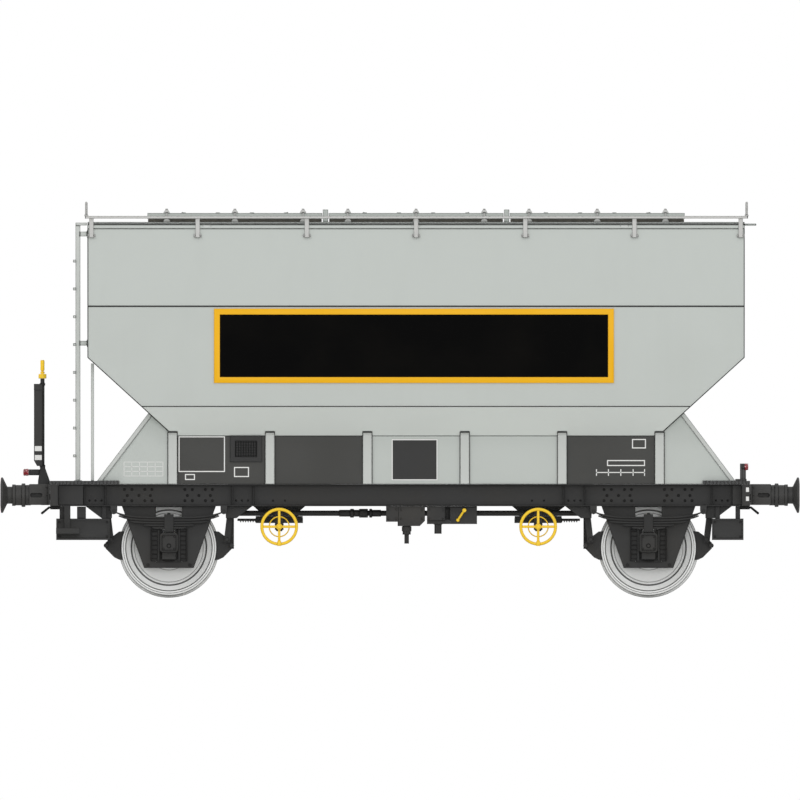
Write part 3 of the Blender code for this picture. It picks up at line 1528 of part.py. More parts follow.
def walkway(name, side):
    """A grating carried by brackets that are bolted to the cantrail, with a rail at each end."""
    plate = block(WALK_X, across(side, *WALK_Y), WALK_Z)
    shapes = [plate]
    roof_top = ROOF_UNDER + ROOF_THICK + SEAT
    for i in range(BRACKETS):
        x = BODY_X + (i - (BRACKETS - 1) / 2) * BRACKET_PITCH
        x = min(max(x, BODY_START + BRACKET_WIDTH / 2), BODY_END - BRACKET_WIDTH / 2)
        half = BRACKET_WIDTH / 2
        clear = CANTRAIL_PROUD + 2 * SEAT
        upper, lower = ROOF_UNDER + 0.010, BRACKET_FOOT_Z
        inner_top = CANTRAIL_HALF_WIDTH + clear
        strap = [
            (side * inner_top, WALK_Z[0] + 0.005),
            (side * (inner_top + BRACKET_THICK), WALK_Z[0] + 0.005),
            (side * (inner_top + BRACKET_THICK), upper - 0.020),
            (side * (side_y(lower) + clear + BRACKET_THICK), lower),
            (side * (side_y(lower) + 3 * SEAT), lower),
            (side * (side_y(lower + 0.085) + 3 * SEAT), lower + 0.085),
            (side * (side_y(lower + 0.085) + clear), lower + 0.085),
            (side * inner_top, upper - 0.025),
        ]
        shapes.append(slab(strap, "YZ", x - half, x + half))
        foot_top = lower + BRACKET_FOOT_HEIGHT
        foot = [
            (side * (side_y(lower) + 3 * SEAT), lower),
            (side * (side_y(lower) + clear + BRACKET_THICK), lower),
            (side * (side_y(foot_top) + clear + BRACKET_THICK), foot_top),
            (side * (side_y(foot_top) + 3 * SEAT), foot_top),
        ]
        foot_x = min(max(x, BODY_START + BRACKET_FOOT_WIDTH / 2), BODY_END - BRACKET_FOOT_WIDTH / 2)
        shapes.append(slab(foot, "YZ", foot_x - BRACKET_FOOT_WIDTH / 2, foot_x + BRACKET_FOOT_WIDTH / 2))
        leg_y = WALK_Y[0] + 0.060
        shapes.append(block((x - half, x + half), across(side, leg_y, leg_y + 0.040), (roof_top, WALK_Z[0] + 0.005)))
    for x in (WALK_X[0] + RAIL_RADIUS, WALK_X[1] - RAIL_RADIUS):
        inner, outer, low = WALK_Y[0] + 0.040, WALK_Y[1] - 0.040, WALK_Z[0] + 0.008
        bend = 0.060
        hoop = [
            (x, side * inner, low),
            (x, side * inner, RAIL_TOP - RAIL_RADIUS - bend),
            (x, side * (inner + bend), RAIL_TOP - RAIL_RADIUS),
            (x, side * (outer - bend), RAIL_TOP - RAIL_RADIUS),
            (x, side * outer, RAIL_TOP - RAIL_RADIUS - bend),
            (x, side * outer, low),
        ]
        shapes.append(tube(hoop, RAIL_RADIUS, 1))
    piece(f"walkway_{name}", shapes, TRIM_PAINT)


# Gates


def rack_outline(x, low, high):
    """A rack's teeth along its under side, in mesh with the pinion at rest."""
    pitch = 2 * math.pi * PINION_RADIUS / PINION_TEETH
    line = SHAFT_Z + PINION_RADIUS
    tip, root = line - TOOTH_ADDENDUM, line + TOOTH_DEDENDUM
    half_tip = pitch * TOOTH_SHARE / 2 - TOOTH_ADDENDUM * math.tan(math.radians(20))
    half_root = pitch * TOOTH_SHARE / 2 + TOOTH_DEDENDUM * math.tan(math.radians(20))
    points = []
    start = math.ceil((low + half_root - x) / pitch - 0.5)
    stop = math.floor((high - half_root - x) / pitch - 0.5)
    for i in range(start, stop + 1):
        middle = x + (i + 0.5) * pitch
        points += [
            (middle - half_root, root),
            (middle - half_tip, tip),
            (middle + half_tip, tip),
            (middle + half_root, root),
        ]
    top = GATE_TOP - GATE_THICK + 0.004
    return [(low, top), (low, root), *points, (high, root), (high, top)]


def pinion_outline(x):
    """A spur pinion with a tooth pointing straight up at rest."""
    points = []
    pitch = 2 * math.pi / PINION_TEETH
    root, tip = PINION_RADIUS - TOOTH_DEDENDUM, PINION_RADIUS + TOOTH_ADDENDUM
    half = pitch * TOOTH_SHARE / 2
    lean = math.tan(math.radians(20))
    for i in range(PINION_TEETH):
        middle = math.pi / 2 + i * pitch
        wide = half + TOOTH_DEDENDUM * lean / PINION_RADIUS
        thin = half - 1.6 * TOOTH_ADDENDUM * lean / PINION_RADIUS
        for radius, turn in ((root, -wide), (tip, -thin), (tip, thin), (root, wide)):
            angle = middle + turn
            points.append((x + radius * math.cos(angle), SHAFT_Z + radius * math.sin(angle)))
    return points


def gate(end):
    """The slide plate with two racks under it. It opens towards the middle of the wagon."""
    x = OUTLET_XS[end]
    way = -ENDS[end]
    half = GATE_LENGTH / 2
    under = GATE_TOP - GATE_THICK
    plate = block((x - half, x + half), (-GATE_HALF_WIDTH, GATE_HALF_WIDTH), (under, GATE_TOP))
    shapes = [plate]
    tail = x - way * (GATE_TRAVEL + RACK_SPARE)
    nose = x + way * RACK_SPARE
    for side in SIDES.values():
        shapes.append(
            slab(
                rack_outline(x, min(tail, nose), max(tail, nose)),
                "XZ",
                *across(side, RACK_Y - RACK_WIDTH / 2, RACK_Y + RACK_WIDTH / 2),
            )
        )
    made = piece(f"gate_{end}", shapes, GATE_STEEL)
    pivot(f"gate_{end}_slide", (x, 0, GATE_TOP), [made])


def gate_shaft(end):
    """A shaft right across the wagon with two pinions, and a handwheel at each end."""
    x = OUTLET_XS[end]
    reach = HANDWHEEL_Y + 0.020
    shapes = [rod((x, -reach, SHAFT_Z), (x, reach, SHAFT_Z), SHAFT_RADIUS, 12)]
    for side in SIDES.values():
        shapes.append(
            slab(
                pinion_outline(x),
                "XZ",
                *across(side, RACK_Y - PINION_WIDTH / 2, RACK_Y + PINION_WIDTH / 2),
            )
        )
        place = (x, side * HANDWHEEL_Y, SHAFT_Z)
        rim = arc((HANDWHEEL_RADIUS, 0), HANDWHEEL_RIM, 90, 90 - 360, 5)[:-1]
        shapes.append(turned(rim, place, (0, 1, 0), 20, closed=True))
        clamp_z = SHAFT_Z - HANDWHEEL_RADIUS
        shapes.append(
            block(
                (x - HANDWHEEL_CLAMP / 2, x + HANDWHEEL_CLAMP / 2),
                (side * HANDWHEEL_Y - HANDWHEEL_CLAMP / 2, side * HANDWHEEL_Y + HANDWHEEL_CLAMP / 2),
                (clamp_z - HANDWHEEL_RIM - 0.003, clamp_z + HANDWHEEL_CLAMP / 2),
            )
        )
        for i in range(HANDWHEEL_SPOKES):
            angle = 2 * math.pi * i / HANDWHEEL_SPOKES
            tip = (
                x + HANDWHEEL_RADIUS * math.cos(angle),
                side * HANDWHEEL_Y,
                SHAFT_Z + HANDWHEEL_RADIUS * math.sin(angle),
            )
            shapes.append(rod(place, tip, 0.013, 4))
        hub = (HANDWHEEL_Y - 0.022, HANDWHEEL_Y + 0.025)
        shapes.append(rod((x, side * hub[0], SHAFT_Z), (x, side * hub[1], SHAFT_Z), 0.034, 8))
    made = piece(f"gate_shaft_{end}", shapes, YELLOW_PAINT)
    pivot(f"gate_shaft_{end}_axis", (x, 0, SHAFT_Z), [made])


# Decks, ladder and brake stand


def decks():
    low = SOLEBAR_TOP + SEAT
    y = (-DECK_HALF_WIDTH, DECK_HALF_WIDTH)
    deck_a = [block((-FRAME_HALF_LENGTH, DECK_A_END), y, (low, DECK_TOP))]
    post_y = DECK_HALF_WIDTH - DECK_POST_INSET
    for side in SIDES.values():
        top = below_end_sheet(DECK_POST_X[1]) - 2 * SEAT
        deck_a.append(block(DECK_POST_X, across(side, post_y - DECK_POST_DEPTH, post_y), (DECK_TOP - 0.010, top)))
    piece("deck_a", deck_a, FRAME_PAINT)
    lamp_y = -DECK_HALF_WIDTH + LAMP_INSET
    foot_x = (FRAME_HALF_LENGTH - LAMP_FOOT_INSET - LAMP_FOOT, FRAME_HALF_LENGTH - LAMP_FOOT_INSET)
    post_x = (LAMP_FACE - LAMP_POST, LAMP_FACE)
    lamp_z = LAMP_TOP - LAMP_RADIUS
    deck_b = [
        block((DECK_B_START, FRAME_HALF_LENGTH), y, (low, DECK_TOP)),
        block(foot_x, (lamp_y - LAMP_FOOT / 2, lamp_y + LAMP_FOOT / 2), (DECK_TOP - 0.010, DECK_TOP + 0.020)),
        block(post_x, (lamp_y - 0.020, lamp_y + 0.020), (DECK_TOP, LAMP_TOP)),
        rod((post_x[0] + 0.020, lamp_y, lamp_z), (LAMP_FACE + LAMP_LENS, lamp_y, lamp_z), LAMP_RADIUS, 10),
    ]
    piece("deck_b", deck_b, FRAME_PAINT)


def ladder():
    """Two stiles up to the walkway, with the rungs bolted across their outer edges."""
    foot = DECK_TOP + SEAT
    shapes = []
    for y in LADDER_Y:
        shapes.append(block(LADDER_X, (y - STILE_THICK / 2, y + STILE_THICK / 2), (foot, LADDER_TOP)))
    for i in range(RUNGS):
        z = FIRST_RUNG_Z + i * RUNG_PITCH
        x = LADDER_X[0] - 0.010
        shapes.append(rod((x, LADDER_Y[0] - 0.020, z), (x, LADDER_Y[1] + 0.020, z), RUNG_RADIUS, 5))
    top = block(
        (LADDER_X[0], BODY_START - 0.006),
        (LADDER_Y[0] - 0.020, LADDER_Y[1] + 0.020),
        (LADDER_TOP - 0.030, LADDER_TOP),
    )
    shapes.append(top)
    for z in (LADDER_TOP - 0.120, END_WALL_Z + 0.150):
        for y in LADDER_Y:
            shapes.append(
                block(
                    (LADDER_X[1] - 0.010, BODY_START - SEAT),
                    (y - STILE_THICK / 2, y + STILE_THICK / 2),
                    (z - 0.025, z + 0.025),
                )
            )
    piece("ladder", shapes, TRIM_PAINT)


def brake_stand():
    """The hand brake's post and guard board, on the outer face of the headstock."""
    face = -FRAME_HALF_LENGTH - SEAT
    board_y = (STAND_Y - BOARD_HALF_WIDTH, STAND_Y + BOARD_HALF_WIDTH)
    low, high = BOARD_Z
    front, back = BOARD_X
    foot = [
        (face, STAND_FOOT_Z[0]),
        (face, STAND_FOOT_Z[1]),
        (STAND_X + STAND_RADIUS, STAND_FLARE_Z),
        (STAND_X - STAND_RADIUS, STAND_FLARE_Z),
        (STAND_X - STAND_FOOT_HALF, STAND_FOOT_Z[1]),
        (STAND_X - STAND_FOOT_HALF, STAND_FOOT_Z[0] + STAND_FOOT_ROUND),
        (STAND_X - STAND_FOOT_HALF + STAND_FOOT_ROUND, STAND_FOOT_Z[0]),
    ]
    shapes = [
        slab(foot, "XZ", STAND_Y - STAND_FOOT_WIDTH / 2, STAND_Y + STAND_FOOT_WIDTH / 2),
        rod((STAND_X, STAND_Y, STAND_FOOT_Z[0] + 0.050), (STAND_X, STAND_Y, STAND_TOP), STAND_RADIUS, 10),
        block((front, front + BOARD_THICK), board_y, BOARD_Z),
        block((front, back), board_y, (high - BOARD_THICK, high)),
    ]
    cheek = [
        (front, high),
        (back, high),
        (back, low + BOARD_CHEEK_TAPER),
        (front + BOARD_THICK, low),
        (front, low),
    ]
    for edge in (board_y[0], board_y[1] - BOARD_THICK):
        shapes.append(slab(cheek, "XZ", edge, edge + BOARD_THICK))
    for z in (low + BOARD_ARM_INSET, high - BOARD_ARM_INSET):
        shapes.append(block((front, STAND_X), (STAND_Y - 0.020, STAND_Y + 0.020), (z - 0.025, z + 0.025)))
    arm_z = TAIL_LAMP_Z
    shapes.append(block((TAIL_LAMP_X, STAND_X), (STAND_Y - 0.025, STAND_Y + 0.025), (arm_z - 0.031, arm_z + 0.031)))
    shapes.append(rod((TAIL_LAMP_X - 0.010, STAND_Y, arm_z), (TAIL_LAMP_X + 0.043, STAND_Y, arm_z), 0.045, 10))
    piece("brake_stand", shapes, FRAME_PAINT)
    low = STAND_TOP + SEAT
    elbow = low + CRANK_COLLAR
    crank = [
        rod((STAND_X, STAND_Y, low), (STAND_X, STAND_Y, elbow), CRANK_COLLAR_RADIUS, 10),
        rod((STAND_X, STAND_Y, elbow - 0.018), (STAND_X, STAND_Y + CRANK_ARM, elbow + 0.014), 0.016, 8),
        rod(
            (STAND_X, STAND_Y + CRANK_ARM, elbow - 0.003),
            (STAND_X, STAND_Y + CRANK_ARM, CRANK_TOP),
            CRANK_GRIP_RADIUS,
            10,
        ),
    ]
    piece("hand_crank", crank, YELLOW_PAINT)


def build():
    for end in ENDS:
        wheelset(end)
        headstock(end)
        draw_hook(end)
        for name, side in SIDES.items():
            axlebox(end, name, side)
            spring(end, name, side)
            buffer(end, name, side)
        for way in (-1, 1):
            brake_beam(end, way)
        gate(end)
        gate_shaft(end)
    for name, side in SIDES.items():
        solebar(name, side)
        side_frame(name, side)
        walkway(name, side)
    for number, x in enumerate(bearer_places(), 1):
        piece(f"cross_bearer_{number}", [bearer(x)], FRAME_PAINT)
    pull_rod()
    brake_valve()
    end_box("a", END_BOX_A_X, END_BOX_OUT)
    end_box("b", END_BOX_B_X, END_BOX_OUT)
    for name, side in SIDES.items():
        side_step(name, side)
    body_sides()
    body_ends()
    saddle()
    roof()
    for number, span in enumerate(lid_spans(), 1):
        lid(number, span)
    decks()
    ladder()
    brake_stand()
    add_booleans()


build()
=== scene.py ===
# %% [markdown]
# # A grain hopper wagon, finished piece by piece
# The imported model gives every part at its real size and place, in metres: +X runs along the wagon towards
# its plain end, -Y faces the camera, and the wheels' flanges stand at z = 0.
# This lesson gives those parts their paint and adds what the plain solids leave out: turned wheels, leaf
# springs, handwheels, gratings, rivets and blank plates. Each is modelled the way it would be by hand.

# %% Load the frame
import contextlib
import json
import math

import bmesh
import bpy
from mathutils import Matrix, Vector


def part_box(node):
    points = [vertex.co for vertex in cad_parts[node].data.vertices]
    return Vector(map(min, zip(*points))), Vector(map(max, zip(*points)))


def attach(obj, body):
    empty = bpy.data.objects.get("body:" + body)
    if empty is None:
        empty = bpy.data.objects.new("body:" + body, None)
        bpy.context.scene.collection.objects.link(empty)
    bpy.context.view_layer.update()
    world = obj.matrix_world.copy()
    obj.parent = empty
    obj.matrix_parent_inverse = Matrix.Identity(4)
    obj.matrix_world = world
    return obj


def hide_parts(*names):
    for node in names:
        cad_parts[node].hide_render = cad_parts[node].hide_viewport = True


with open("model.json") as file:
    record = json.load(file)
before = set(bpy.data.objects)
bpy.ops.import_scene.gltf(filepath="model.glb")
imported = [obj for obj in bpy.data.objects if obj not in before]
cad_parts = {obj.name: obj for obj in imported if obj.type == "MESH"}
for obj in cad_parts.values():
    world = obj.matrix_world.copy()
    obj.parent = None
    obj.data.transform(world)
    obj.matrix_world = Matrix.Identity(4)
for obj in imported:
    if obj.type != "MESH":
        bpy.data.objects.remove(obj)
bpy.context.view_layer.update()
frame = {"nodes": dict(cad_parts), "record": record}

scene = bpy.context.scene

# %% [markdown]
# ## Places that everything else is measured from
# A visual piece has to sit exactly where the solid that it stands for sits, so places are read from the
# frame's boxes and not typed in a second time. Sides are near (-Y) and far (+Y), ends are a (-X) and b (+X).


# %% Places read from the frame
def middle(node):
    low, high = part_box(node)
    return (low + high) / 2


ENDS = {"a": -1, "b": 1}
SIDES = {"near": -1, "far": 1}
AXLES = {end: middle(f"axle_{end}") for end in ENDS}
DRIVES = {end: middle(f"gate_shaft_{end}") for end in ENDS}
HEADSTOCK_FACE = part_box("headstock_b")[1].x
BODY = tuple(corner.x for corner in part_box("body_side_near"))
BODY_X = sum(BODY) / 2
for end, place in AXLES.items():
    print("axle", end, [round(value, 4) for value in place], "drive", round(DRIVES[end].x, 4))

# %% [markdown]
# ## Modelling by hand, in code
# With no window, a modelling step is still the same operator that a key would call. Three habits keep it
# safe. Everything is deselected before a primitive is added, because an operator works on all that is
# selected. Faces are picked in code, by their normal or place. And a finished piece keeps its object at
# the origin, with its place in its mesh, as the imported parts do.


# %% Adding primitives
def settled(name):
    """The new primitive under its own name, with its place and size moved into its mesh."""
    made = bpy.context.object
    made.name = name
    made.data.name = name
    bpy.ops.object.transform_apply(location=True, rotation=True, scale=True)
    return made


def cube(name, x, y, z):
    """A box between the low and high value of each axis, in either order."""
    spans = [sorted(span) for span in (x, y, z)]
    centre = [sum(span) / 2 for span in spans]
    size = [span[1] - span[0] for span in spans]
    bpy.ops.object.select_all(action="DESELECT")
    bpy.ops.mesh.primitive_cube_add(size=1, location=centre, scale=size)
    return settled(name)


def cylinder(name, start, end, radius, sides):
    along = Vector(end) - Vector(start)
    bpy.ops.object.select_all(action="DESELECT")
    bpy.ops.mesh.primitive_cylinder_add(
        vertices=sides,
        radius=radius,
        depth=along.length,
        location=(Vector(start) + Vector(end)) / 2,
        rotation=along.to_track_quat("Z", "Y").to_euler(),
    )
    return settled(name)


# %% Edit mode as a context
def only(piece):
    """Selects one piece alone, so that the next operator works on nothing else."""
    bpy.ops.object.select_all(action="DESELECT")
    piece.select_set(True)
    bpy.context.view_layer.objects.active = piece


@contextlib.contextmanager
def editing(piece, mode="FACE", chosen=lambda element: True):
    """Opens a piece in edit mode with the chosen elements selected, and closes it again."""
    only(piece)
    bpy.ops.object.mode_set(mode="EDIT")
    bpy.ops.mesh.select_mode(type=mode)
    bpy.ops.mesh.select_all(action="DESELECT")
    shape = bmesh.from_edit_mesh(piece.data)
    elements = {"VERT": shape.verts, "EDGE": shape.edges, "FACE": shape.faces}[mode]
    for element in elements:
        element.select_set(bool(chosen(element)))
    shape.select_flush_mode()
    bmesh.update_edit_mesh(piece.data)
    yield
    bpy.ops.object.mode_set(mode="OBJECT")


# %% [markdown]
# Most shapes come from three steps. I insets a face, E extrudes it, and a Bevel modifier takes the sharpness
# off the edges. The near side looks along -Y, and a face counts as looking along a direction when its normal
# is within about 8 degrees of it.

# %% Insets, extrusions and soft edges
NEAR = (0, -1, 0)
SAME_WAY = 0.99
SHARP_ANGLE = math.radians(30)
MERGE_DISTANCE = 0.00005


def facing(direction):
    """Picks the faces that look along a direction."""
    return lambda face: face.normal.dot(Vector(direction)) > SAME_WAY


def inset(piece, thickness, depth):
    """Insets the near face of a piece, and sinks or raises what is inside."""
    with editing(piece, "FACE", facing(NEAR)):
        bpy.ops.mesh.inset(thickness=thickness, depth=depth)
    return piece


def pulled(step):
    """Extrudes what is selected in edit mode by a step."""
    bpy.ops.mesh.extrude_region_move(TRANSFORM_OT_translate={"value": step})


def closed_up():
    """Merges the corners that lie on one another and turns all faces outwards, in edit mode."""
    bpy.ops.mesh.select_all(action="SELECT")
    bpy.ops.mesh.remove_doubles(threshold=MERGE_DISTANCE)
    bpy.ops.mesh.normals_make_consistent(inside=False)


def applied(piece):
    only(piece)
    for modifier in list(piece.modifiers):
        bpy.ops.object.modifier_apply(modifier=modifier.name)


def softened(piece, width, segments=2):
    """A Bevel modifier on the sharp edges, applied, so that the edges catch the light."""
    bevel = piece.modifiers.new("Soft edges", "BEVEL")
    bevel.width = width
    bevel.segments = segments
    bevel.limit_method = "ANGLE"
    bevel.angle_limit = SHARP_ANGLE
    applied(piece)
    return piece


def eased(name, x, y, z, width, segments=2):
    """A box with soft edges."""
    return softened(cube(name, x, y, z), width, segments)


# %% [markdown]
# Two ways of drawing serve most of the wagon. A turned part is half its section, drawn by extruding one
# vertex from point to point and spun about its axis. A flat part is its outline, drawn the same way, filled
# with F and extruded by its thickness.


# %% Drawing a line, a turned part and a plate
SEED_SIZE = 0.01
BEND_STEPS = 8
AXES = {"X": Vector((1, 0, 0)), "Y": Vector((0, 1, 0)), "Z": Vector((0, 0, 1))}


def drawn(name, points, closed=False):
    """A line drawn by extruding one vertex from point to point, filled where it is closed."""
    points = [Vector(point) for point in points]
    bpy.ops.object.select_all(action="DESELECT")
    bpy.ops.mesh.primitive_plane_add(size=SEED_SIZE, location=points[0])
    line = settled(name)
    with editing(line, "VERT"):
        # The plane's four corners become the first vertex.
        bpy.ops.mesh.merge(type="CENTER")
        for here, there in zip(points, points[1:]):
            pulled(there - here)
        if closed:
            bpy.ops.mesh.select_all(action="SELECT")
            bpy.ops.mesh.edge_face_add()
    return line


def turned(name, profile, axis, steps, centre=(0, 0, 0)):
    """A profile of (radius, distance) pairs spun about an axis through the centre."""
    axis, centre = Vector(axis), Vector(centre)
    out = Vector((0, 0, 1)) if abs(axis.z) < 0.5 else Vector((0, -1, 0))
    line = drawn(name, [centre + out * radius + axis * far for radius, far in profile])
    with editing(line, "VERT"):
        bpy.ops.mesh.spin(steps=steps, angle=2 * math.pi, center=centre, axis=axis)
        closed_up()
    return line


def plate(name, outline, across, low, high):
    """A flat outline, filled and extruded between two values of the axis that it lies across."""
    first, second = [axis for letter, axis in AXES.items() if letter != across]
    made = drawn(name, [first * u + second * v + AXES[across] * low for u, v in outline], closed=True)
    with editing(made):
        pulled(AXES[across] * (high - low))
        closed_up()
    return made


def arc(x, z, wide, tall, degrees):
    """Points of an outline on a circle or oval, at these angles from +X towards +Z."""
    turns = [math.radians(turn) for turn in degrees]
    return [(x + wide * math.cos(turn), z + tall * math.sin(turn)) for turn in turns]


def bar(name, points, radius, bend=0.0):
    """A round bar along a drawn line, whose corners are rounded where a bend is given."""
    line = drawn(name, points)
    if bend:
        with editing(line, "VERT"):
            bpy.ops.mesh.bevel(offset=bend, segments=BEND_STEPS, affect="VERTICES")
    only(line)
    bpy.ops.object.convert(target="CURVE")
    curve = bpy.context.object
    curve.data.bevel_depth = radius
    curve.data.bevel_resolution = 3
    curve.data.use_fill_caps = True
    bpy.ops.object.convert(target="MESH")
    made = bpy.context.object
    made.name = name
    with editing(made, "VERT"):
        closed_up()
    return made


# %% [markdown]
# What repeats is modelled once and copied. Each copy gets its own mesh, and a mirrored copy has its faces
# turned back, because a mirror turns a mesh inside out.

# %% Copying and joining
ACROSS = Matrix.Diagonal((1, -1, 1, 1))
ALONG = Matrix.Diagonal((-1, 1, 1, 1))


def copied(source, name, matrix):
    twin = source.copy()
    twin.data = source.data.copy()
    twin.name = name
    twin.data.transform(matrix)
    if matrix.determinant() < 0:
        twin.data.flip_normals()
    scene.collection.objects.link(twin)
    return twin


def joined(name, parts):
    bpy.ops.object.select_all(action="DESELECT")
    for part in parts:
        part.select_set(True)
    bpy.context.view_layer.objects.active = parts[0]
    if len(parts) > 1:
        bpy.ops.object.join()
    parts[0].name = name
    return parts[0]


def discard(*things):
    for thing in things:
        bpy.data.objects.remove(thing, do_unlink=True)


def repeated(name, part, places):
    """One piece made of copies of a small part, one at each place, and the part itself removed."""
    copies = [copied(part, name, Matrix.Translation(place)) for place in places]
    discard(part)
    return joined(name, copies)


# %% [markdown]
# ## Paint as arithmetic
# A material is a graph of nodes, and a graph is hard to read as a list of links. So a socket is wrapped in
# a small class, and `1 - mask` or `grain * 0.2` adds the Math nodes by itself. All patterns read Object
# coordinates. They are in metres here, so a noise scale of 4 means patches of about 25 cm.


# %% Sockets that can be added and multiplied
class Value:
    """A node's output that Python's operators can work on."""

    def __init__(self, finish, socket):
        self.finish = finish
        self.socket = socket

    def maths(self, operation, first, second, clamp=False):
        settings = {"operation": operation, "use_clamp": clamp}
        return self.finish.node("ShaderNodeMath", settings, {0: first, 1: second})

    def __add__(self, other):
        return self.maths("ADD", self, other)

    def __sub__(self, other):
        return self.maths("SUBTRACT", self, other)

    def __rsub__(self, other):
        return self.maths("SUBTRACT", other, self)

    def __mul__(self, other):
        return self.maths("MULTIPLY", self, other)

    def __gt__(self, other):
        return self.maths("GREATER_THAN", self, other)

    def __lt__(self, other):
        return self.maths("LESS_THAN", self, other)

    __radd__ = __add__
    __rmul__ = __mul__

    def size(self):
        return self.maths("ABSOLUTE", self, 0.0)

    def fraction(self):
        return self.maths("FRACT", self, 0.0)

    def limited(self):
        """Held between 0 and 1."""
        return self.maths("ADD", self, 0.0, clamp=True)

    def between(self, low, high):
        """1 inside a span and 0 outside it."""
        return (self > low) * (self < high)


# %% [markdown]
# One class holds a material. Its `node` method makes any node: the type, the settings, then the sockets.
# The paint itself has four layers: the colour, broad patches where weather has dulled it, streaks that
# rain draws down the sides, and a dark line along every edge and crease, which is painted shade. The
# Bevel node finds those edges, because near an edge the normal that it rounds differs from the true one.


# %% A material and its parts
EDGE_GAIN = 24.0
EDGE_FLOOR = 0.2


class Finish:
    def __init__(self, name, roughness=0.5, metallic=0.0, coat=0.0, gloss=0.5):
        self.material = bpy.data.materials.new(name)
        self.material.use_nodes = True
        self.tree = self.material.node_tree
        self.shader = self.tree.nodes["Principled BSDF"]
        self.shader.inputs["Metallic"].default_value = metallic
        self.shader.inputs["Coat Weight"].default_value = coat
        self.shader.inputs["Roughness"].default_value = roughness
        self.shader.inputs["Specular IOR Level"].default_value = gloss
        self.place = self.node("ShaderNodeTexCoord", {}, {}, "Object")

    def node(self, kind, settings, sockets, output=0):
        """A node of this type, with its settings, and the values or links of its sockets."""
        made = self.tree.nodes.new(kind)
        for key, value in settings.items():
            setattr(made, key, value)
        for key, value in sockets.items():
            self.feed(made.inputs[key], value)
        return Value(self, made.outputs[output])

    def feed(self, socket, value):
        if isinstance(value, Value):
            self.tree.links.new(value.socket, socket)
        elif isinstance(value, tuple) and len(socket.default_value) == 4:
            socket.default_value = (*value, 1.0)
        else:
            socket.default_value = value

    def part(self, axis):
        """One coordinate of the place."""
        return self.node("ShaderNodeSeparateXYZ", {}, {0: self.place}, axis)

    def noise(self, scale, detail=3.0, stretch=(1, 1, 1)):
        """Cloudy grain, drawn out along an axis where its stretch is small."""
        place = self.node("ShaderNodeMapping", {}, {"Vector": self.place, "Scale": stretch})
        return self.node("ShaderNodeTexNoise", {}, {"Vector": place, "Scale": scale, "Detail": detail})

    def mix(self, share, first, second):
        return self.node("ShaderNodeMix", {"data_type": "RGBA"}, {0: share, 6: first, 7: second}, 2)

    def edges(self, reach):
        """The mask of the painted edge shade: 1 on an edge and 0 further away than the reach."""
        rounded = self.node("ShaderNodeBevel", {"samples": 4}, {"Radius": reach})
        true = self.node("ShaderNodeNewGeometry", {}, {}, "Normal")
        settings = {"operation": "DOT_PRODUCT"}
        same = self.node("ShaderNodeVectorMath", settings, {0: rounded, 1: true}, "Value")
        return ((1 - same) * EDGE_GAIN - EDGE_FLOOR).limited()

    def show(self, colour, roughness=None, height=None, depth=0.0005):
        """Sends the layers to the shader, with a height as a bump of this depth in metres."""
        self.feed(self.shader.inputs["Base Color"], colour)
        if roughness is not None:
            self.feed(self.shader.inputs["Roughness"], roughness)
        if height is not None:
            bump = self.node("ShaderNodeBump", {}, {"Height": height, "Distance": depth}, "Normal")
            self.feed(self.shader.inputs["Normal"], bump)
        return self.material


def srgb(red, green, blue):
    """A colour as a screen shows it, from 0 to 255, as the linear light that a shader works in."""
    values = [channel / 255 for channel in (red, green, blue)]
    return tuple(v / 12.92 if v <= 0.04045 else ((v + 0.055) / 1.055) ** 2.4 for v in values)


# %% The wagon's colours
BODY_GREY = srgb(191, 196, 192)
# Painted light: a lighter copy of the hopper grey, for the skin below the fold where less light falls.
UNDER_FOLD_PAINTED_LIGHT = srgb(221, 226, 222)
TRIM_GREY = srgb(200, 203, 200)
GRATING_GREY = srgb(196, 196, 194)
FRAME_BLACK = srgb(54, 54, 54)
PANEL_BLACK = srgb(66, 66, 64)
IRON_BLACK = srgb(56, 56, 56)
SIGN_BLACK = srgb(8, 8, 8)
WHEEL_WHITE = srgb(247, 248, 247)
MARK_WHITE = srgb(236, 236, 234)
HAND_YELLOW = srgb(255, 212, 58)
SIGN_YELLOW = srgb(240, 180, 16)
LAMP_RED = srgb(150, 16, 36)
STEEL_GREY = srgb(120, 122, 124)
SOOT_AND_RING_SHADE = srgb(26, 25, 24)
# Painted shade: the near-black of the dark line painted along every edge and crease.
PAINTED_EDGE_SHADE = srgb(6, 6, 6)
DUST = srgb(150, 142, 128)


# %% The common paint
PEEL_DEPTH = 0.00012


def paint(name, colour, roughness=0.45, edge=(0.6, 0.010), dull=0.06, streak=0.08, gloss=0.18):
    """Old paint that weather has worked on. The painted shade line on an edge has a strength and a width."""
    strength, reach = edge
    finish = Finish(name, roughness, gloss=gloss)
    patches = ((finish.noise(1.7, 5.0) - 0.42) * 2.6).limited()
    runs = ((finish.noise(5.0, 4.0, (1.0, 1.0, 0.09)) - 0.5) * 3.0).limited()
    peel = finish.noise(260.0, 2.0)
    worn = finish.mix(patches * dull, colour, DUST)
    run = finish.mix(runs * streak, worn, SOOT_AND_RING_SHADE)
    return finish, run, finish.edges(reach) * strength, patches, peel


def simple_paint(name, colour, roughness=0.45, edge=(0.6, 0.010), dull=0.06, streak=0.08, gloss=0.18):
    finish, run, edges, patches, peel = paint(name, colour, roughness, edge, dull, streak, gloss)
    # The edge mask mixes the painted edge shade into the colour.
    return finish.show(finish.mix(edges, run, PAINTED_EDGE_SHADE), patches * 0.18 + roughness, peel, PEEL_DEPTH)


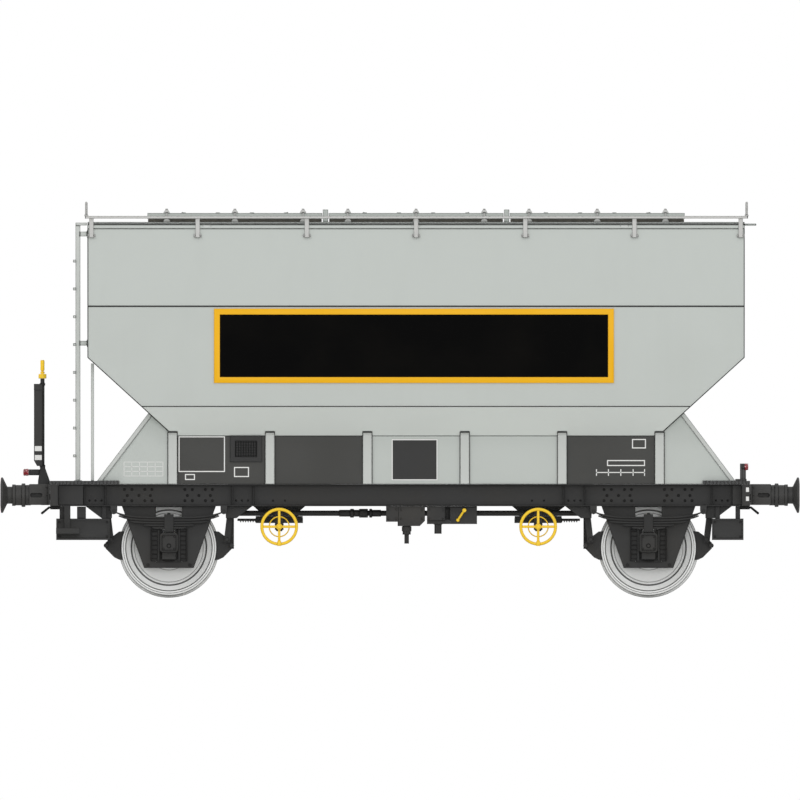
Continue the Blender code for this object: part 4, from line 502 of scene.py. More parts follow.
FINISHES = {
    "frame_black": simple_paint("Frame paint", FRAME_BLACK, 0.5, (0.95, 0.012), 0.05, 0.05),
    "cast_iron": simple_paint("Running gear paint", IRON_BLACK, 0.62, (0.95, 0.008), 0.08, 0.05),
    "trim_grey": simple_paint("Trim paint", TRIM_GREY, 0.42, (0.9, 0.014), 0.03, 0.03),
    "yellow_paint": simple_paint("Handwheel yellow", HAND_YELLOW, 0.35, (0.7, 0.0035), 0.03, 0.02),
    "sign_black": simple_paint("Board black", SIGN_BLACK, 0.6, (0.0, 0.010), 0.01, 0.0, 0.02),
    "white_paint": simple_paint("Marking white", MARK_WHITE, 0.45, (0.2, 0.003), 0.02, 0.03),
}
SIGN_EDGE = simple_paint("Board yellow", SIGN_YELLOW, 0.4, (0.5, 0.006), 0.02, 0.02)
GRATING = simple_paint("Grating paint", GRATING_GREY, 0.5, (0.9, 0.008), 0.06, 0.02)
LEAF_BLACK = simple_paint("Leaf black", srgb(50, 50, 50), 0.6, (0.95, 0.004), 0.05, 0.05)
SPRING_BLACK = simple_paint("Spring black", srgb(38, 38, 38), 0.6, (0.95, 0.005), 0.05, 0.05)
# Near-black for seams, rivets and beads, and for the painted shade between the spring's leaves.
SEAM_AND_GAP_SHADE_BLACK = simple_paint("Seam and gap shade black", srgb(22, 22, 22), 0.6, (0.0, 0.010), 0.05, 0.0)
print(len(FINISHES), "plain paints")

# %% [markdown]
# The hopper is grey down to the solebars and black where its outlets reach between the wheels, so its paint
# changes colour with height. Below the fold of its outer skin, where less light falls, the grey is painted a
# shade lighter, as painted light against that shade. The side frames have three black bays, told apart by
# where they lie along the wagon and by how deep the surface sits: the panels lie behind the posts.

# %% Paint that depends on the place
HOPPER_BLACK_BELOW = 1.19
FOLD_Z = 2.014
OUTER_SKIN = 0.9
finish, run, edges, patches, peel = paint("Hopper paint", BODY_GREY, 0.42, (0.9, 0.014), 0.02, 0.02)
# Painted light: the outer skin below the fold, which is painted lighter against its shade.
fold_painted_light = (finish.part("Z") < FOLD_Z) * (finish.part("Y").size() > OUTER_SKIN)
low = finish.part("Z") < HOPPER_BLACK_BELOW
colour = finish.mix(low, finish.mix(fold_painted_light, run, UNDER_FOLD_PAINTED_LIGHT), FRAME_BLACK)
# The edge mask mixes the painted edge shade into the hopper's colour.
FINISHES["body_grey"] = finish.show(finish.mix(edges, colour, PAINTED_EDGE_SHADE), patches * 0.15 + 0.4, peel, PEEL_DEPTH)

POST_WIDTH = 0.095
POST_PITCH = 1.0256
POSTS = [BODY_X + (i - 2.5) * POST_PITCH for i in range(6)]
BLACK_BAYS = ((0, 2), (4, 5))
PANEL_FACE = 1.031
finish, run, edges, patches, peel = paint("Side frame paint", TRIM_GREY, 0.42, (0.9, 0.014), 0.02, 0.02)
x, depth = finish.part("X"), finish.part("Y").size()
post = sum(((x - centre).size() < POST_WIDTH / 2 for centre in POSTS), start=x * 0.0)
bays = sum((x.between(POSTS[first], POSTS[last]) for first, last in BLACK_BAYS), start=x * 0.0)
panel = (depth < PANEL_FACE) * (1 - post)
colour = finish.mix(bays * panel, finish.mix(panel, run, BODY_GREY), PANEL_BLACK)
# The edge mask mixes the painted edge shade into the side frames' colour.
SIDE_FRAME = finish.show(finish.mix(edges, colour, PAINTED_EDGE_SHADE), patches * 0.15 + 0.4, peel, PEEL_DEPTH)
print("hopper and side frames")

# %% [markdown]
# Three finishes are of their own kind. The buffers and hooks are black paint over forged steel, a lamp's
# lens is clear coloured glass, and seals are dull rubber.

# %% Steel, glass and rubber
FINISHES["dark_steel"] = simple_paint("Buffer black", srgb(62, 62, 62), 0.45, (0.95, 0.006), 0.06, 0.03)

finish = Finish("Lamp glass", 0.08, coat=1.0)
ribs = finish.noise(40.0, 1.0)
finish.shader.inputs["Transmission Weight"].default_value = 0.35
FINISHES["red_lens"] = finish.show(finish.mix(ribs * 0.5, LAMP_RED, srgb(196, 30, 48)), height=ribs)

finish = Finish("Seal rubber", 0.8)
scuffs = finish.noise(30.0, 4.0)
FINISHES["black_rubber"] = finish.show(
    finish.mix(scuffs * 0.4, srgb(34, 34, 34), DUST), scuffs * 0.2 + 0.7, finish.noise(400.0), 0.0002
)

# %% [markdown]
# A wheel is white on its web and rim, and bright where it runs on the rail. Dark rings at the steps of its
# section are painted shade. The mask is a distance from the axle, so each end has its own material: a
# Mapping node puts the pattern's centre on that axle.

# %% Wheel paint
TREAD = (0.4985, 0.5035)
# Painted shade: a dark ring at each step of the wheel's section, given as radius, width and strength.
PAINTED_RING_SHADE = ((0.135, 0.010, 0.5), (0.235, 0.010, 0.45), (0.363, 0.010, 0.5), (0.395, 0.017, 0.85))
PAINTED_RING_SHADE += ((0.455, 0.012, 0.8), (0.479, 0.007, 0.5), (0.503, 0.006, 0.5), (0.525, 0.005, 0.6))


def wheel_paint(end):
    finish, run, edges, patches, peel = paint(f"Wheel white {end}", WHEEL_WHITE, 0.4, (0.3, 0.004), 0.03, 0.0)
    axle = AXLES[end]
    settings = {"vector_type": "POINT"}
    sockets = {"Vector": finish.place, "Location": (-axle.x, 0.0, -axle.z), "Scale": (1, 0, 1)}
    spoke = finish.node("ShaderNodeMapping", settings, sockets)
    radius = finish.node("ShaderNodeVectorMath", {"operation": "LENGTH"}, {0: spoke}, "Value")
    tread = radius.between(*TREAD)
    rings = [((radius - place).size() < width / 2) * ring_shade for place, width, ring_shade in PAINTED_RING_SHADE]
    # Painted shade: the rings and the edge line together, darkened towards the soot colour.
    ring_and_edge_shade = (edges + sum(rings, start=radius * 0.0)).limited()
    finish.feed(finish.shader.inputs["Metallic"], tread * 0.9)
    colour = finish.mix(tread * 0.5, finish.mix(ring_and_edge_shade, run, SOOT_AND_RING_SHADE), STEEL_GREY)
    return finish.show(colour, 0.42 - tread * 0.15 + patches * 0.1, peel, 0.0001)


WHEEL_PAINT = {end: wheel_paint(end) for end in ENDS}
FINISHES["wheel_white"] = WHEEL_PAINT["a"]
print(len(bpy.data.materials), "materials")

# %% [markdown]
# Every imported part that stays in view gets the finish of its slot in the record. The side frames and the
# parts of wheelset b are the exceptions.

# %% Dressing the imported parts
SLOT_OF = {part["node"]: part["material_slot"] for part in frame["record"]["subparts"]}
SMOOTH_ANGLE = math.radians(32)


def painted(piece, material):
    piece.data.materials.clear()
    piece.data.materials.append(material)


for node, part in frame["nodes"].items():
    painted(part, FINISHES[SLOT_OF[node]])
for name in SIDES:
    painted(frame["nodes"][f"side_frame_{name}"], SIDE_FRAME)
    painted(frame["nodes"][f"wheel_b_{name}"], WHEEL_PAINT["b"])


def dressed(piece, slot, body="wagon", *replaced, material=None):
    """A finished piece: its finish, its body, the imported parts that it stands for, and soft shading."""
    painted(piece, material or FINISHES[slot])
    only(piece)
    bpy.ops.object.shade_smooth_by_angle(angle=SMOOTH_ANGLE)
    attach(piece, body)
    if replaced:
        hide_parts(*replaced)
    piece.data.name = piece.name
    piece.data.calc_loop_triangles()
    print(f"{piece.name}: {len(piece.data.loop_triangles)} triangles on {body}")
    return piece


# %% [markdown]
# ## The long board on the hopper
# A wide board hangs on the upright part of each side: black, with a raised yellow frame. On the real wagon
# it carries words, so here it stays blank. It is one box. Its front face is inset by the frame's width and
# pushed back, which leaves the frame standing, and the two parts are then separated for their two paints.

# %% The board
BOARD_X = (-1.959, 2.253)
BOARD_Z = (2.261, 3.044)
BOARD_EDGE = 0.062
BOARD_THICK = 0.012
BOARD_SUNK = 0.006
BOARD_PANEL = 0.001
SIDE_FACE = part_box("body_side_near")[0].y


def sign(name, side):
    out = Vector((0, side, 0))
    back = side * (abs(SIDE_FACE) + 0.0005)
    board = cube(f"sign_frame_{name}", BOARD_X, (back, back + side * BOARD_THICK), BOARD_Z)
    with editing(board, "FACE", facing(out)):
        bpy.ops.mesh.inset(thickness=BOARD_EDGE)
        pulled(out * -BOARD_SUNK)
        bpy.ops.mesh.duplicate()
        bpy.ops.mesh.separate(type="SELECTED")
    panel = next(piece for piece in bpy.context.selected_objects if piece != board)
    panel.name = f"sign_panel_{name}"
    with editing(panel):
        pulled(out * BOARD_PANEL)
        closed_up()
    dressed(softened(board, 0.002), "yellow_paint", material=SIGN_EDGE)
    dressed(panel, "sign_black")


for name, side in SIDES.items():
    sign(name, side)

# %% [markdown]
# ## Wheels
# A rolled wheel is all turning: hub, dished web, tyre, tread and flange. Half its section is drawn once and
# spun in 96 steps, close enough that the rim reads as round. The groove in the tyre's face is the mark that
# shows how far the tread may wear.

# %% One wheel, four times
WHEEL_SECTION = [
    (0.0930, 0.838), (0.1280, 0.838), (0.1350, 0.832), (0.1420, 0.800), (0.1700, 0.764), (0.2280, 0.748),
    (0.2350, 0.744), (0.2420, 0.748), (0.3550, 0.760), (0.3630, 0.764), (0.3700, 0.760), (0.3900, 0.770),
    (0.3950, 0.782), (0.4460, 0.806), (0.4550, 0.815), (0.4770, 0.815), (0.4785, 0.811), (0.4815, 0.811),
    (0.4830, 0.815), (0.4940, 0.815), (0.4990, 0.811), (0.5000, 0.803), (0.5015, 0.745), (0.5060, 0.724),
    (0.5160, 0.711), (0.5240, 0.706), (0.5275, 0.700), (0.5275, 0.694), (0.5220, 0.684), (0.5140, 0.680),
    (0.4400, 0.680), (0.3950, 0.712), (0.2400, 0.716), (0.1500, 0.702), (0.1350, 0.690), (0.0930, 0.668),
]
WHEEL_STEPS = 96
master = turned("wheel", WHEEL_SECTION + WHEEL_SECTION[:1], (0, -1, 0), WHEEL_STEPS)
for end, axle in AXLES.items():
    for name, side in SIDES.items():
        mirror = Matrix.Identity(4) if side < 0 else ACROSS
        place = Matrix.Translation((axle.x, 0, axle.z)) @ mirror
        wheel = copied(master, f"wheel_{end}_{name}_turned", place)
        dressed(wheel, "wheel_white", f"wheelset_{end}", f"wheel_{end}_{name}", material=WHEEL_PAINT[end])
discard(master)

# %% [markdown]
# ## Gate drives
# Each slide gate is moved by a shaft right across the wagon. Two pinions on it mesh with the racks under the
# gate, and a yellow handwheel at each end turns it. The rim and the thin inner ring are tori, the spokes
# are square bars, and the pinion's teeth come from a formula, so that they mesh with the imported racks.

# %% The pinion and its shaft
PINION_RADIUS = 0.050
TEETH = 12
ADDENDUM = 0.006
DEDENDUM = 0.008
TOOTH_SHARE = 0.2
TIP_TAPER = 1.6
PRESSURE_ANGLE = math.radians(20)
RACK_Y = 0.150
RACK_HALF = 0.020
HANDWHEEL_Y = 1.075


def pinion_outline():
    """Points round a spur pinion, with a tooth straight up."""
    pitch = 2 * math.pi / TEETH
    half = pitch * TOOTH_SHARE
    lean = math.tan(PRESSURE_ANGLE) / PINION_RADIUS
    root = (PINION_RADIUS - DEDENDUM, half + DEDENDUM * lean)
    tip = (PINION_RADIUS + ADDENDUM, half - TIP_TAPER * ADDENDUM * lean)
    points = []
    for i in range(TEETH):
        middle_turn = math.pi / 2 - i * pitch
        for (radius, turn), way in ((root, 1), (tip, 1), (tip, -1), (root, -1)):
            angle = middle_turn + way * turn
            points.append((radius * math.cos(angle), radius * math.sin(angle)))
    return points


def ring(name, radius, thickness, around, across):
    """A round ring in the near handwheel's plane."""
    bpy.ops.object.select_all(action="DESELECT")
    bpy.ops.mesh.primitive_torus_add(
        location=(0, -HANDWHEEL_Y, 0),
        rotation=(math.pi / 2, 0, 0),
        major_radius=radius,
        minor_radius=thickness,
        major_segments=around,
        minor_segments=across,
    )
    return settled(name)


def handwheel():
    """A handwheel on the near end of a shaft along Y, at the origin of X and Z."""
    y = -HANDWHEEL_Y
    parts = [ring("rim", 0.183, 0.0162, 72, 14), ring("inner ring", 0.105, 0.0065, 56, 8)]
    reach, thin = (-0.176, 0.176), (-0.0135, 0.0135)
    for x, z in ((reach, thin), (thin, reach)):
        parts.append(eased("spokes", x, (y - 0.0085, y + 0.0085), z, 0.004))
    hub = cylinder("hub", (0, y - 0.026, 0), (0, y + 0.022, 0), 0.033, 32)
    with editing(hub, "FACE", facing(NEAR)):
        bpy.ops.mesh.inset(thickness=0.010)
        pulled((0, -0.006, 0))
    parts.append(softened(hub, 0.002))
    parts.append(eased("clamp", (-0.021, 0.021), (y - 0.024, y + 0.020), (-0.203, -0.150), 0.004))
    return joined("handwheel", parts)


shaft = cylinder("shaft", (0, -HANDWHEEL_Y, 0), (0, HANDWHEEL_Y, 0), 0.0198, 32)
wheel = handwheel()
parts = [shaft, wheel, copied(wheel, "handwheel", ACROSS)]
for side in SIDES.values():
    middle_y = side * RACK_Y
    pinion = plate("pinion", pinion_outline(), "Y", middle_y - RACK_HALF, middle_y + RACK_HALF)
    parts.append(softened(pinion, 0.0008, 1))
drive = joined("drive", parts)
for end, place in DRIVES.items():
    twin = copied(drive, f"gate_drive_{end}", Matrix.Translation((place.x, 0, place.z)))
    dressed(twin, "yellow_paint", f"gate_shaft_{end}", f"gate_shaft_{end}")
discard(drive)

# %% [markdown]
# The rack hangs from the gate between two flat stiffeners. They ride on the gate, beside the pinions.

# %% Stiffeners under the gates
STIFFENER_X, STIFFENER_Y, STIFFENER_Z = (-1.519, -1.022), (0.1760, 0.1840), (0.7865, 0.8295)
between_drives = sum(place.x for place in DRIVES.values()) / 2
for end, way in ENDS.items():
    span = [between_drives - way * (x - between_drives) for x in STIFFENER_X]
    strips = [cube("strip", span, [side * y for y in STIFFENER_Y], STIFFENER_Z) for side in SIDES.values()]
    strip = softened(joined(f"gate_stiffeners_{end}", strips), 0.0015, 1)
    dressed(strip, "dark_steel", f"gate_{end}")

# %% [markdown]
# ## Copies round the wagon
# The running gear is the same at four places. Each piece is modelled once: on the near side, or at x = 0 on
# the near side for the axles, or at the near corner of end a. A table of matrices then takes it to all its
# places, and mirrors it for the far side.


# %% Four places, two sides
def mirrored(far=False, ahead=False):
    return (ACROSS if far else Matrix.Identity(4)) @ (ALONG if ahead else Matrix.Identity(4))


BOTH_SIDES = {name: mirrored(side > 0) for name, side in SIDES.items()}
AT_AXLES = {
    f"{end}_{name}": Matrix.Translation((axle.x, 0, 0)) @ mirrored(side > 0)
    for end, axle in AXLES.items()
    for name, side in SIDES.items()
}
AT_CORNERS = {
    f"{end}_{name}": mirrored(side > 0, way > 0)
    for end, way in ENDS.items()
    for name, side in SIDES.items()
}


def spread(part, base, slot, replaced=None, material=None, places=BOTH_SIDES):
    """A copy of a part at each place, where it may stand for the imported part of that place."""
    for place, matrix in places.items():
        stands_for = [f"{replaced}_{place}"] if replaced else []
        twin = copied(part, f"{base}_{place}", matrix)
        dressed(twin, slot, "wagon", *stands_for, material=material)
    discard(part)


def along_y(edge):
    """Picks the edges that run across the wagon."""
    span = edge.verts[0].co - edge.verts[1].co
    return abs(span.y) > 0.9 * span.length


def hexagon(name, start, end, radius):
    """A bolt's head or a nut, with its sharp edges taken off."""
    return softened(cylinder(name, start, end, radius, 6), radius * 0.14, 1)


def bolt_heads(xs, ys, zs, step, radius):
    """Bolt heads at every crossing of these places, each as long as the step."""
    places = [Vector((x, y, z)) for x in xs for y in ys for z in zs]
    return [hexagon("bolt", place, place + Vector(step), radius) for place in places]


# %% [markdown]
# ## Leaf springs
# A wagon spring is a stack of steel leaves, each shorter than the one above. They all follow one shallow
# curve, and a forged buckle grips them over the axlebox. One tapered solid would look like a bar. So every
# leaf is its own curved plate with eased edges, and between each two lies a thin dark sheet, painted shade
# for the gap between the leaves.

# %% One spring, leaf by leaf
LEAVES = (0.579, 0.530, 0.410, 0.265, 0.175)
LEAF_PITCH, LEAF_THICK = 0.0274, 0.0194
TIP_TAPER_SHARE = 0.3
GAP_SHADE_SHARE, GAP_SHADE_OVERLAP = 0.985, 0.0005
SPRING_TOP, EYE_Z = 0.854, 0.913
SPRING_Y = (-1.0375, -0.9625)
GAP_SHADE_Y = (-1.0300, -0.9700)


def leaf_z(x):
    """Height of the top leaf's upper face at a distance from the buckle."""
    return SPRING_TOP + (EYE_Z - SPRING_TOP) * (x / LEAVES[0]) ** 4


def curved(name, half, upper, lower, width):
    """A plate on the spring's curve, between two depths under the top leaf's upper face. Its tips taper."""
    stations = [half * (i / 9 - 1) for i in range(19)]
    taper = TIP_TAPER_SHARE * (lower - upper)
    depths = [lower - (taper if abs(x) > 0.99 * half else 0) for x in stations]
    top = [(x, leaf_z(x) - upper) for x in stations]
    low = [(x, leaf_z(x) - depth) for x, depth in zip(stations, depths)]
    return plate(name, top + low[::-1], "Y", *width)


# Painted shade: the dark sheets between the leaves stand for the shade in the gaps between them.
parts, leaf_gap_shades = [], []
for number, half in enumerate(LEAVES):
    upper = number * LEAF_PITCH
    parts.append(softened(curved("leaf", half, upper, upper + LEAF_THICK, SPRING_Y), 0.0022))
    if number:
        above = upper - LEAF_PITCH + LEAF_THICK - GAP_SHADE_OVERLAP
        leaf_gap_shades.append(curved("leaf_gap_shade", half * GAP_SHADE_SHARE, above, upper + GAP_SHADE_OVERLAP, GAP_SHADE_Y))
for way in (-1, 1):
    x = way * LEAVES[0]
    eye = cylinder("eye", (x, SPRING_Y[0], EYE_Z), (x, SPRING_Y[1], EYE_Z), 0.0315, 32)
    parts.append(softened(inset(eye, 0.011, -0.004), 0.0015))
    parts.append(hexagon("pin", (x, -1.052, EYE_Z), (x, -0.950, EYE_Z), 0.017))
buckle = cube("buckle", (-0.0495, 0.0495), (-1.0475, -0.9525), (0.6905, 0.880))
parts.append(softened(inset(buckle, 0.014, -0.004), 0.005, 3))
parts.append(hexagon("wedge bolt", (0, -1.000, 0.874), (0, -1.000, 0.894), 0.020))
spread(joined("spring", parts), "leaf_spring", "cast_iron", "spring", LEAF_BLACK, AT_AXLES)
# The dark sheets in the gaps between the leaves are painted shade.
spread(joined("leaf_gap_shades", leaf_gap_shades), "spring_leaf_gap_shades", "cast_iron", material=SEAM_AND_GAP_SHADE_BLACK, places=AT_AXLES)

# %% [markdown]
# ## Axleboxes and their guides
# The box is a casting that holds the bearing and slides up and down between two ribbed guides. It starts as
# a cube. Its long corners are rounded first, then the front is inset and pulled out for the cover and inset
# again and pushed in for the cover's panel, so that one mesh carries every step of the casting. Foot, seat,
# bolts and plug are set against it.

# %% The axlebox
box = cube("axlebox", (-0.0958, 0.0958), (-1.085, -0.880), (0.478, 0.681))
with editing(box, "EDGE", along_y):
    bpy.ops.mesh.bevel(offset=0.030, segments=6, affect="EDGES")
with editing(box, "FACE", facing(NEAR)):
    bpy.ops.mesh.inset(thickness=0.018)
    pulled((0, -0.013, 0))
    bpy.ops.mesh.inset(thickness=0.009)
    pulled((0, 0.005, 0))
parts = [softened(box, 0.0025)]
foot = cube("foot", (-0.0735, 0.0735), (-1.050, -0.905), (0.402, 0.484))
parts.append(softened(inset(foot, 0.012, -0.004), 0.006, 3))
parts.append(eased("seat", (-0.060, 0.060), SPRING_Y, (0.672, 0.690), 0.002))
parts += bolt_heads((-0.058, 0.058), [-1.090], (0.515, 0.644), (0, -0.011, 0), 0.010)
plug = cylinder("plug", (0, -1.085, 0.547), (0, -1.102, 0.547), 0.021, 32)
parts.append(softened(inset(plug, 0.006, -0.007), 0.0015))
spread(joined("axlebox", parts), "axlebox_cast", "cast_iron", "axlebox", places=AT_AXLES)

# %% [markdown]
# The guides are rows of ribs between two rails. Below the box hangs a keeper strap, bent in an arc. Its
# outline is two arcs about one centre, which is how a smith would mark it on the bar.

# %% Ribbed guides, keeper strap and tie bar bolts
parts = []
RIB_ZS = [0.413 + 0.0475 * i for i in range(7)]
for way in (-1, 1):
    parts.append(cube("rail", (way * 0.179, way * 0.190), (-0.988, -0.955), (0.390, 0.722)))
    for z in RIB_ZS:
        parts.append(cube("rib", (way * 0.117, way * 0.181), (-0.985, -0.955), (z - 0.0055, z + 0.0055)))
guides = softened(joined("guides", parts), 0.002, 1)
sweep = range(-150, -29, 10)
outer = arc(0, 0.508, 0.140, 0.130, sweep)
inner = arc(0, 0.508, 0.128, 0.118, sweep)
strap = softened(plate("strap", outer + inner[::-1], "Y", -0.986, -0.960), 0.0015, 1)
bolts = bolt_heads((-0.222, 0.222), [-0.9515], [0.345], (0, -0.0145, 0), 0.018)
half = [(0.045, 0.466), (0.066, 0.482), (0.066, 0.722), (0.136, 0.722), (0.136, 0.366)]
keep = plate("keep", half + [(-x, z) for x, z in reversed(half)], "Y", -0.950, -0.940)
guides = joined("guides", [guides, strap, *bolts])
spread(guides, "horn_guides", "cast_iron", material=SPRING_BLACK, places=AT_AXLES)
spread(keep, "keep_plate", "cast_iron", places=AT_AXLES)

# %% [markdown]
# Rivets hold the guard plates to the solebars. A rivet head is a short cylinder whose top is inset and
# raised, which makes a dome of very few faces. It is modelled once and set down at every place.


# %% Rivets on the solebars
def rivet(radius, height):
    """A domed head that stands on y = 0 and looks to the near side."""
    head = cylinder("rivet", (0, 0, 0), (0, -height * 0.6, 0), radius, 14)
    return inset(head, radius * 0.45, height * 0.4)


WEB_FACE = -0.960
UPPER_ROW, MIDDLE_ROW, LOWER_ROW = 1.140, 1.077, 1.024
places = []
for axle in AXLES.values():
    for offset in (-0.468, -0.390, -0.253, -0.179, 0.168, 0.247, 0.384, 0.458):
        places += [(axle.x + offset, WEB_FACE, z) for z in (UPPER_ROW, LOWER_ROW)]
    for way in (-1, 1):
        places += [(axle.x + way * offset, WEB_FACE, MIDDLE_ROW) for offset in (0.195, 0.316, 0.437)]
large = repeated("rivets", rivet(0.015, 0.010), places)
SMALL_RIVETS = (-3.269, -3.206, -3.143, -1.727, -1.664, -1.601, -1.337, -1.211)
SMALL_RIVETS += (1.390, 1.516, 1.774, 1.837, 1.900, 3.327, 3.390, 3.449)
small = repeated("rivets", rivet(0.011, 0.008), [(x, WEB_FACE, LOWER_ROW) for x in SMALL_RIVETS])
spread(joined("rivets", [large, small]), "solebar_rivets", "frame_black", material=SEAM_AND_GAP_SHADE_BLACK)

# %% [markdown]
# The headstocks are channels, open at their ends on the model. A real one is closed there by a welded plate,
# and so are the solebar's last bays. Beside the headstock of end a, a short hanger carries the step.

# %% Headstock ends
closing = inset(cube("end plate", (-3.686, -3.600), (-1.2535, -1.2505), (0.966, 1.195)), 0.012, -0.001)
BAY_Y, BAY_Z = (-1.0465, -1.0435), (0.978, 1.182)
last_bays = [cube("bay plate", x, BAY_Y, BAY_Z) for x in ((-3.598, -3.335), (3.500, 3.598))]
spread(softened(joined("bay plates", last_bays), 0.001, 1), "bay_plates", "frame_black")
hanger = inset(cube("hanger", (-3.401, -3.307), (-1.006, -0.994), (0.834, 0.960)), 0.020, -0.002)
spread(softened(closing, 0.001, 1), "headstock_end", "frame_black", places=AT_CORNERS)
spread(softened(hanger, 0.003), "step_hanger", "frame_black")

# %% [markdown]
# ## Buffers
# A buffer is turned work on a cast base: a head that is nearly flat, a plunger that slides in a barrel, and
# a collar and ring that stop it. The base has a deep slot where the spring's key is driven in. The slot is
# cut with a rounded cutter and a Boolean modifier, since no other step leaves a clean oval hole.

# %% A buffer for each corner
BUFFER_SECTION = [
    (0.0, 4.2100), (0.1120, 4.2100), (0.1600, 4.2060), (0.1820, 4.2020), (0.1870, 4.1975),
    (0.1875, 4.1900), (0.1870, 4.1830), (0.1800, 4.1780), (0.1000, 4.1400), (0.0905, 4.1340),
    (0.0900, 4.1200), (0.0900, 4.0850), (0.1100, 4.0840), (0.1130, 4.0800), (0.1130, 4.0510),
    (0.1100, 4.0470), (0.1075, 4.0460), (0.1075, 3.9870), (0.1210, 3.9840), (0.1240, 3.9800),
    (0.1240, 3.9500), (0.1210, 3.9460), (0.1080, 3.9440), (0.1080, 3.8880), (0.0, 3.8880),
]
BUFFER_CENTRE = (0, -0.875, 1.080)
body = turned("buffer", BUFFER_SECTION, (-1, 0, 0), 64, BUFFER_CENTRE)
base = cube("base", (-3.907, -3.6865), (-0.995, -0.755), (0.977, 1.197))
cutter = cube("cutter", (-3.893, -3.767), (-1.200, -0.935), (1.059, 1.101))
with editing(cutter, "EDGE", along_y):
    bpy.ops.mesh.bevel(offset=0.0205, segments=6, affect="EDGES")
softened(base, 0.010, 3)
slot = base.modifiers.new("Key slot", "BOOLEAN")
slot.operation = "DIFFERENCE"
slot.object = cutter
applied(base)
discard(cutter)
foot = eased("foot", (-3.709, -3.6865), (-1.035, -0.715), (0.977, 1.197), 0.004)
bolts = bolt_heads([-3.709], (-1.014, -0.736), (1.004, 1.087, 1.170), (-0.018, 0, 0), 0.017)
buffer = joined("buffer", [body, base, foot, *bolts])
spread(buffer, "buffer_turned", "dark_steel", "buffer", places=AT_CORNERS)

# %% [markdown]
# ## Hooks, axles and the brake's pull rod
# The hook's outline is drawn and extruded, then its edges are rounded in three steps, which is close to what
# forging does to a hot edge. The axles are turned, and the pull rod gets its slack adjuster, with three
# hexagon collars between plain sleeves.

# %% Draw hooks
face, tip, hook_z = HEADSTOCK_FACE, HEADSTOCK_FACE + 0.300, 1.060
butt = face - 0.290
outline = [
    (butt, hook_z - 0.032), (tip - 0.125, hook_z - 0.032), (tip - 0.090, hook_z - 0.058),
    (tip - 0.055, hook_z - 0.074), (tip - 0.018, hook_z - 0.048), (tip - 0.001, hook_z + 0.002),
    (tip - 0.006, hook_z + 0.054), (tip - 0.032, hook_z + 0.077),
]
outline += arc(tip - 0.075, hook_z + 0.012, 0.031, 0.031, range(20, -181, -20))
outline += [(tip - 0.110, hook_z + 0.058), (tip - 0.150, hook_z + 0.032), (butt, hook_z + 0.032)]
hook = softened(plate("hook", outline, "Y", -0.0245, 0.0245), 0.008, 3)
seat = cube("seat", (face + 0.0005, face + 0.014), (-0.090, 0.090), (0.981, 1.139))
bolts = bolt_heads([face + 0.013], (-0.066, 0.066), (1.003, 1.117), (0.014, 0, 0), 0.014)
nut = hexagon("nut", (butt, 0, hook_z), (face - 0.230, 0, hook_z), 0.068)
hook = joined("hook", [hook, softened(seat, 0.003), nut, *bolts])
for end, way in ENDS.items():
    twin = copied(hook, f"draw_hook_{end}_forged", mirrored(ahead=way < 0))
    dressed(twin, "dark_steel", "wagon", f"draw_hook_{end}")
discard(hook)

# %% Axles
HALF_AXLE = [
    (0.0, 1.0700), (0.0570, 1.0700), (0.0600, 1.0670), (0.0600, 0.8700), (0.0680, 0.8600), (0.0700, 0.8480),
    (0.0900, 0.8440), (0.0920, 0.8400), (0.0920, 0.6650), (0.0860, 0.6500), (0.0800, 0.6250),
]
section = HALF_AXLE + [(radius, -far) for radius, far in reversed(HALF_AXLE)]
axle = turned("axle", section, (0, 1, 0), 56)
for end, place in AXLES.items():
    twin = copied(axle, f"axle_{end}_turned", Matrix.Translation((place.x, 0, place.z)))
    dressed(twin, "cast_iron", f"wheelset_{end}", f"axle_{end}")
discard(axle)

# %% Pull rod
low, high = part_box("brake_pull_rod")
y, z = (low.y + high.y) / 2, (low.z + high.z) / 2
parts = [cylinder("rod", (low.x, y, z), (high.x, y, z), 0.0285, 32)]
for start, length in ((-0.526, 0.042), (-0.432, 0.095), (-0.324, 0.032)):
    parts.append(hexagon("collar", (start, y, z), (start + length, y, z), 0.050))
for start, end in ((-0.640, -0.526), (-0.484, -0.432), (-0.292, -0.200)):
    parts.append(softened(cylinder("sleeve", (start, y, z), (end, y, z), 0.036, 32), 0.003))
dressed(joined("pull_rod_turned", parts), "frame_black", "wagon", "brake_pull_rod")

# %% [markdown]
# ## Walkway gratings
# Grating is bearing bars on edge with thin cross rods pressed through them. One bar and one rod are cut and
# then repeated across the walkway, and the open mesh shows the roof below, which a flat sheet never would.

# %% The walkway's grating
WALK_X, WALK_Y, WALK_Z = (-3.317, 3.664), (-1.100, -0.620), (3.993, 4.020)
CANTRAIL, EAVES, LEAN, HALF_WIDTH = 1.060, 3.930, 3.070, 1.335
EDGE_BAR = 0.006
CROSS_PITCH = 0.0698
BEARING_PITCH = 0.036
BRACKET_HALF = 0.0235


def wall_y(z):
    """Distance of the leaning side's outer face from the centre line."""
    return HALF_WIDTH + (CANTRAIL - HALF_WIDTH) * (z - LEAN) / (EAVES - LEAN)


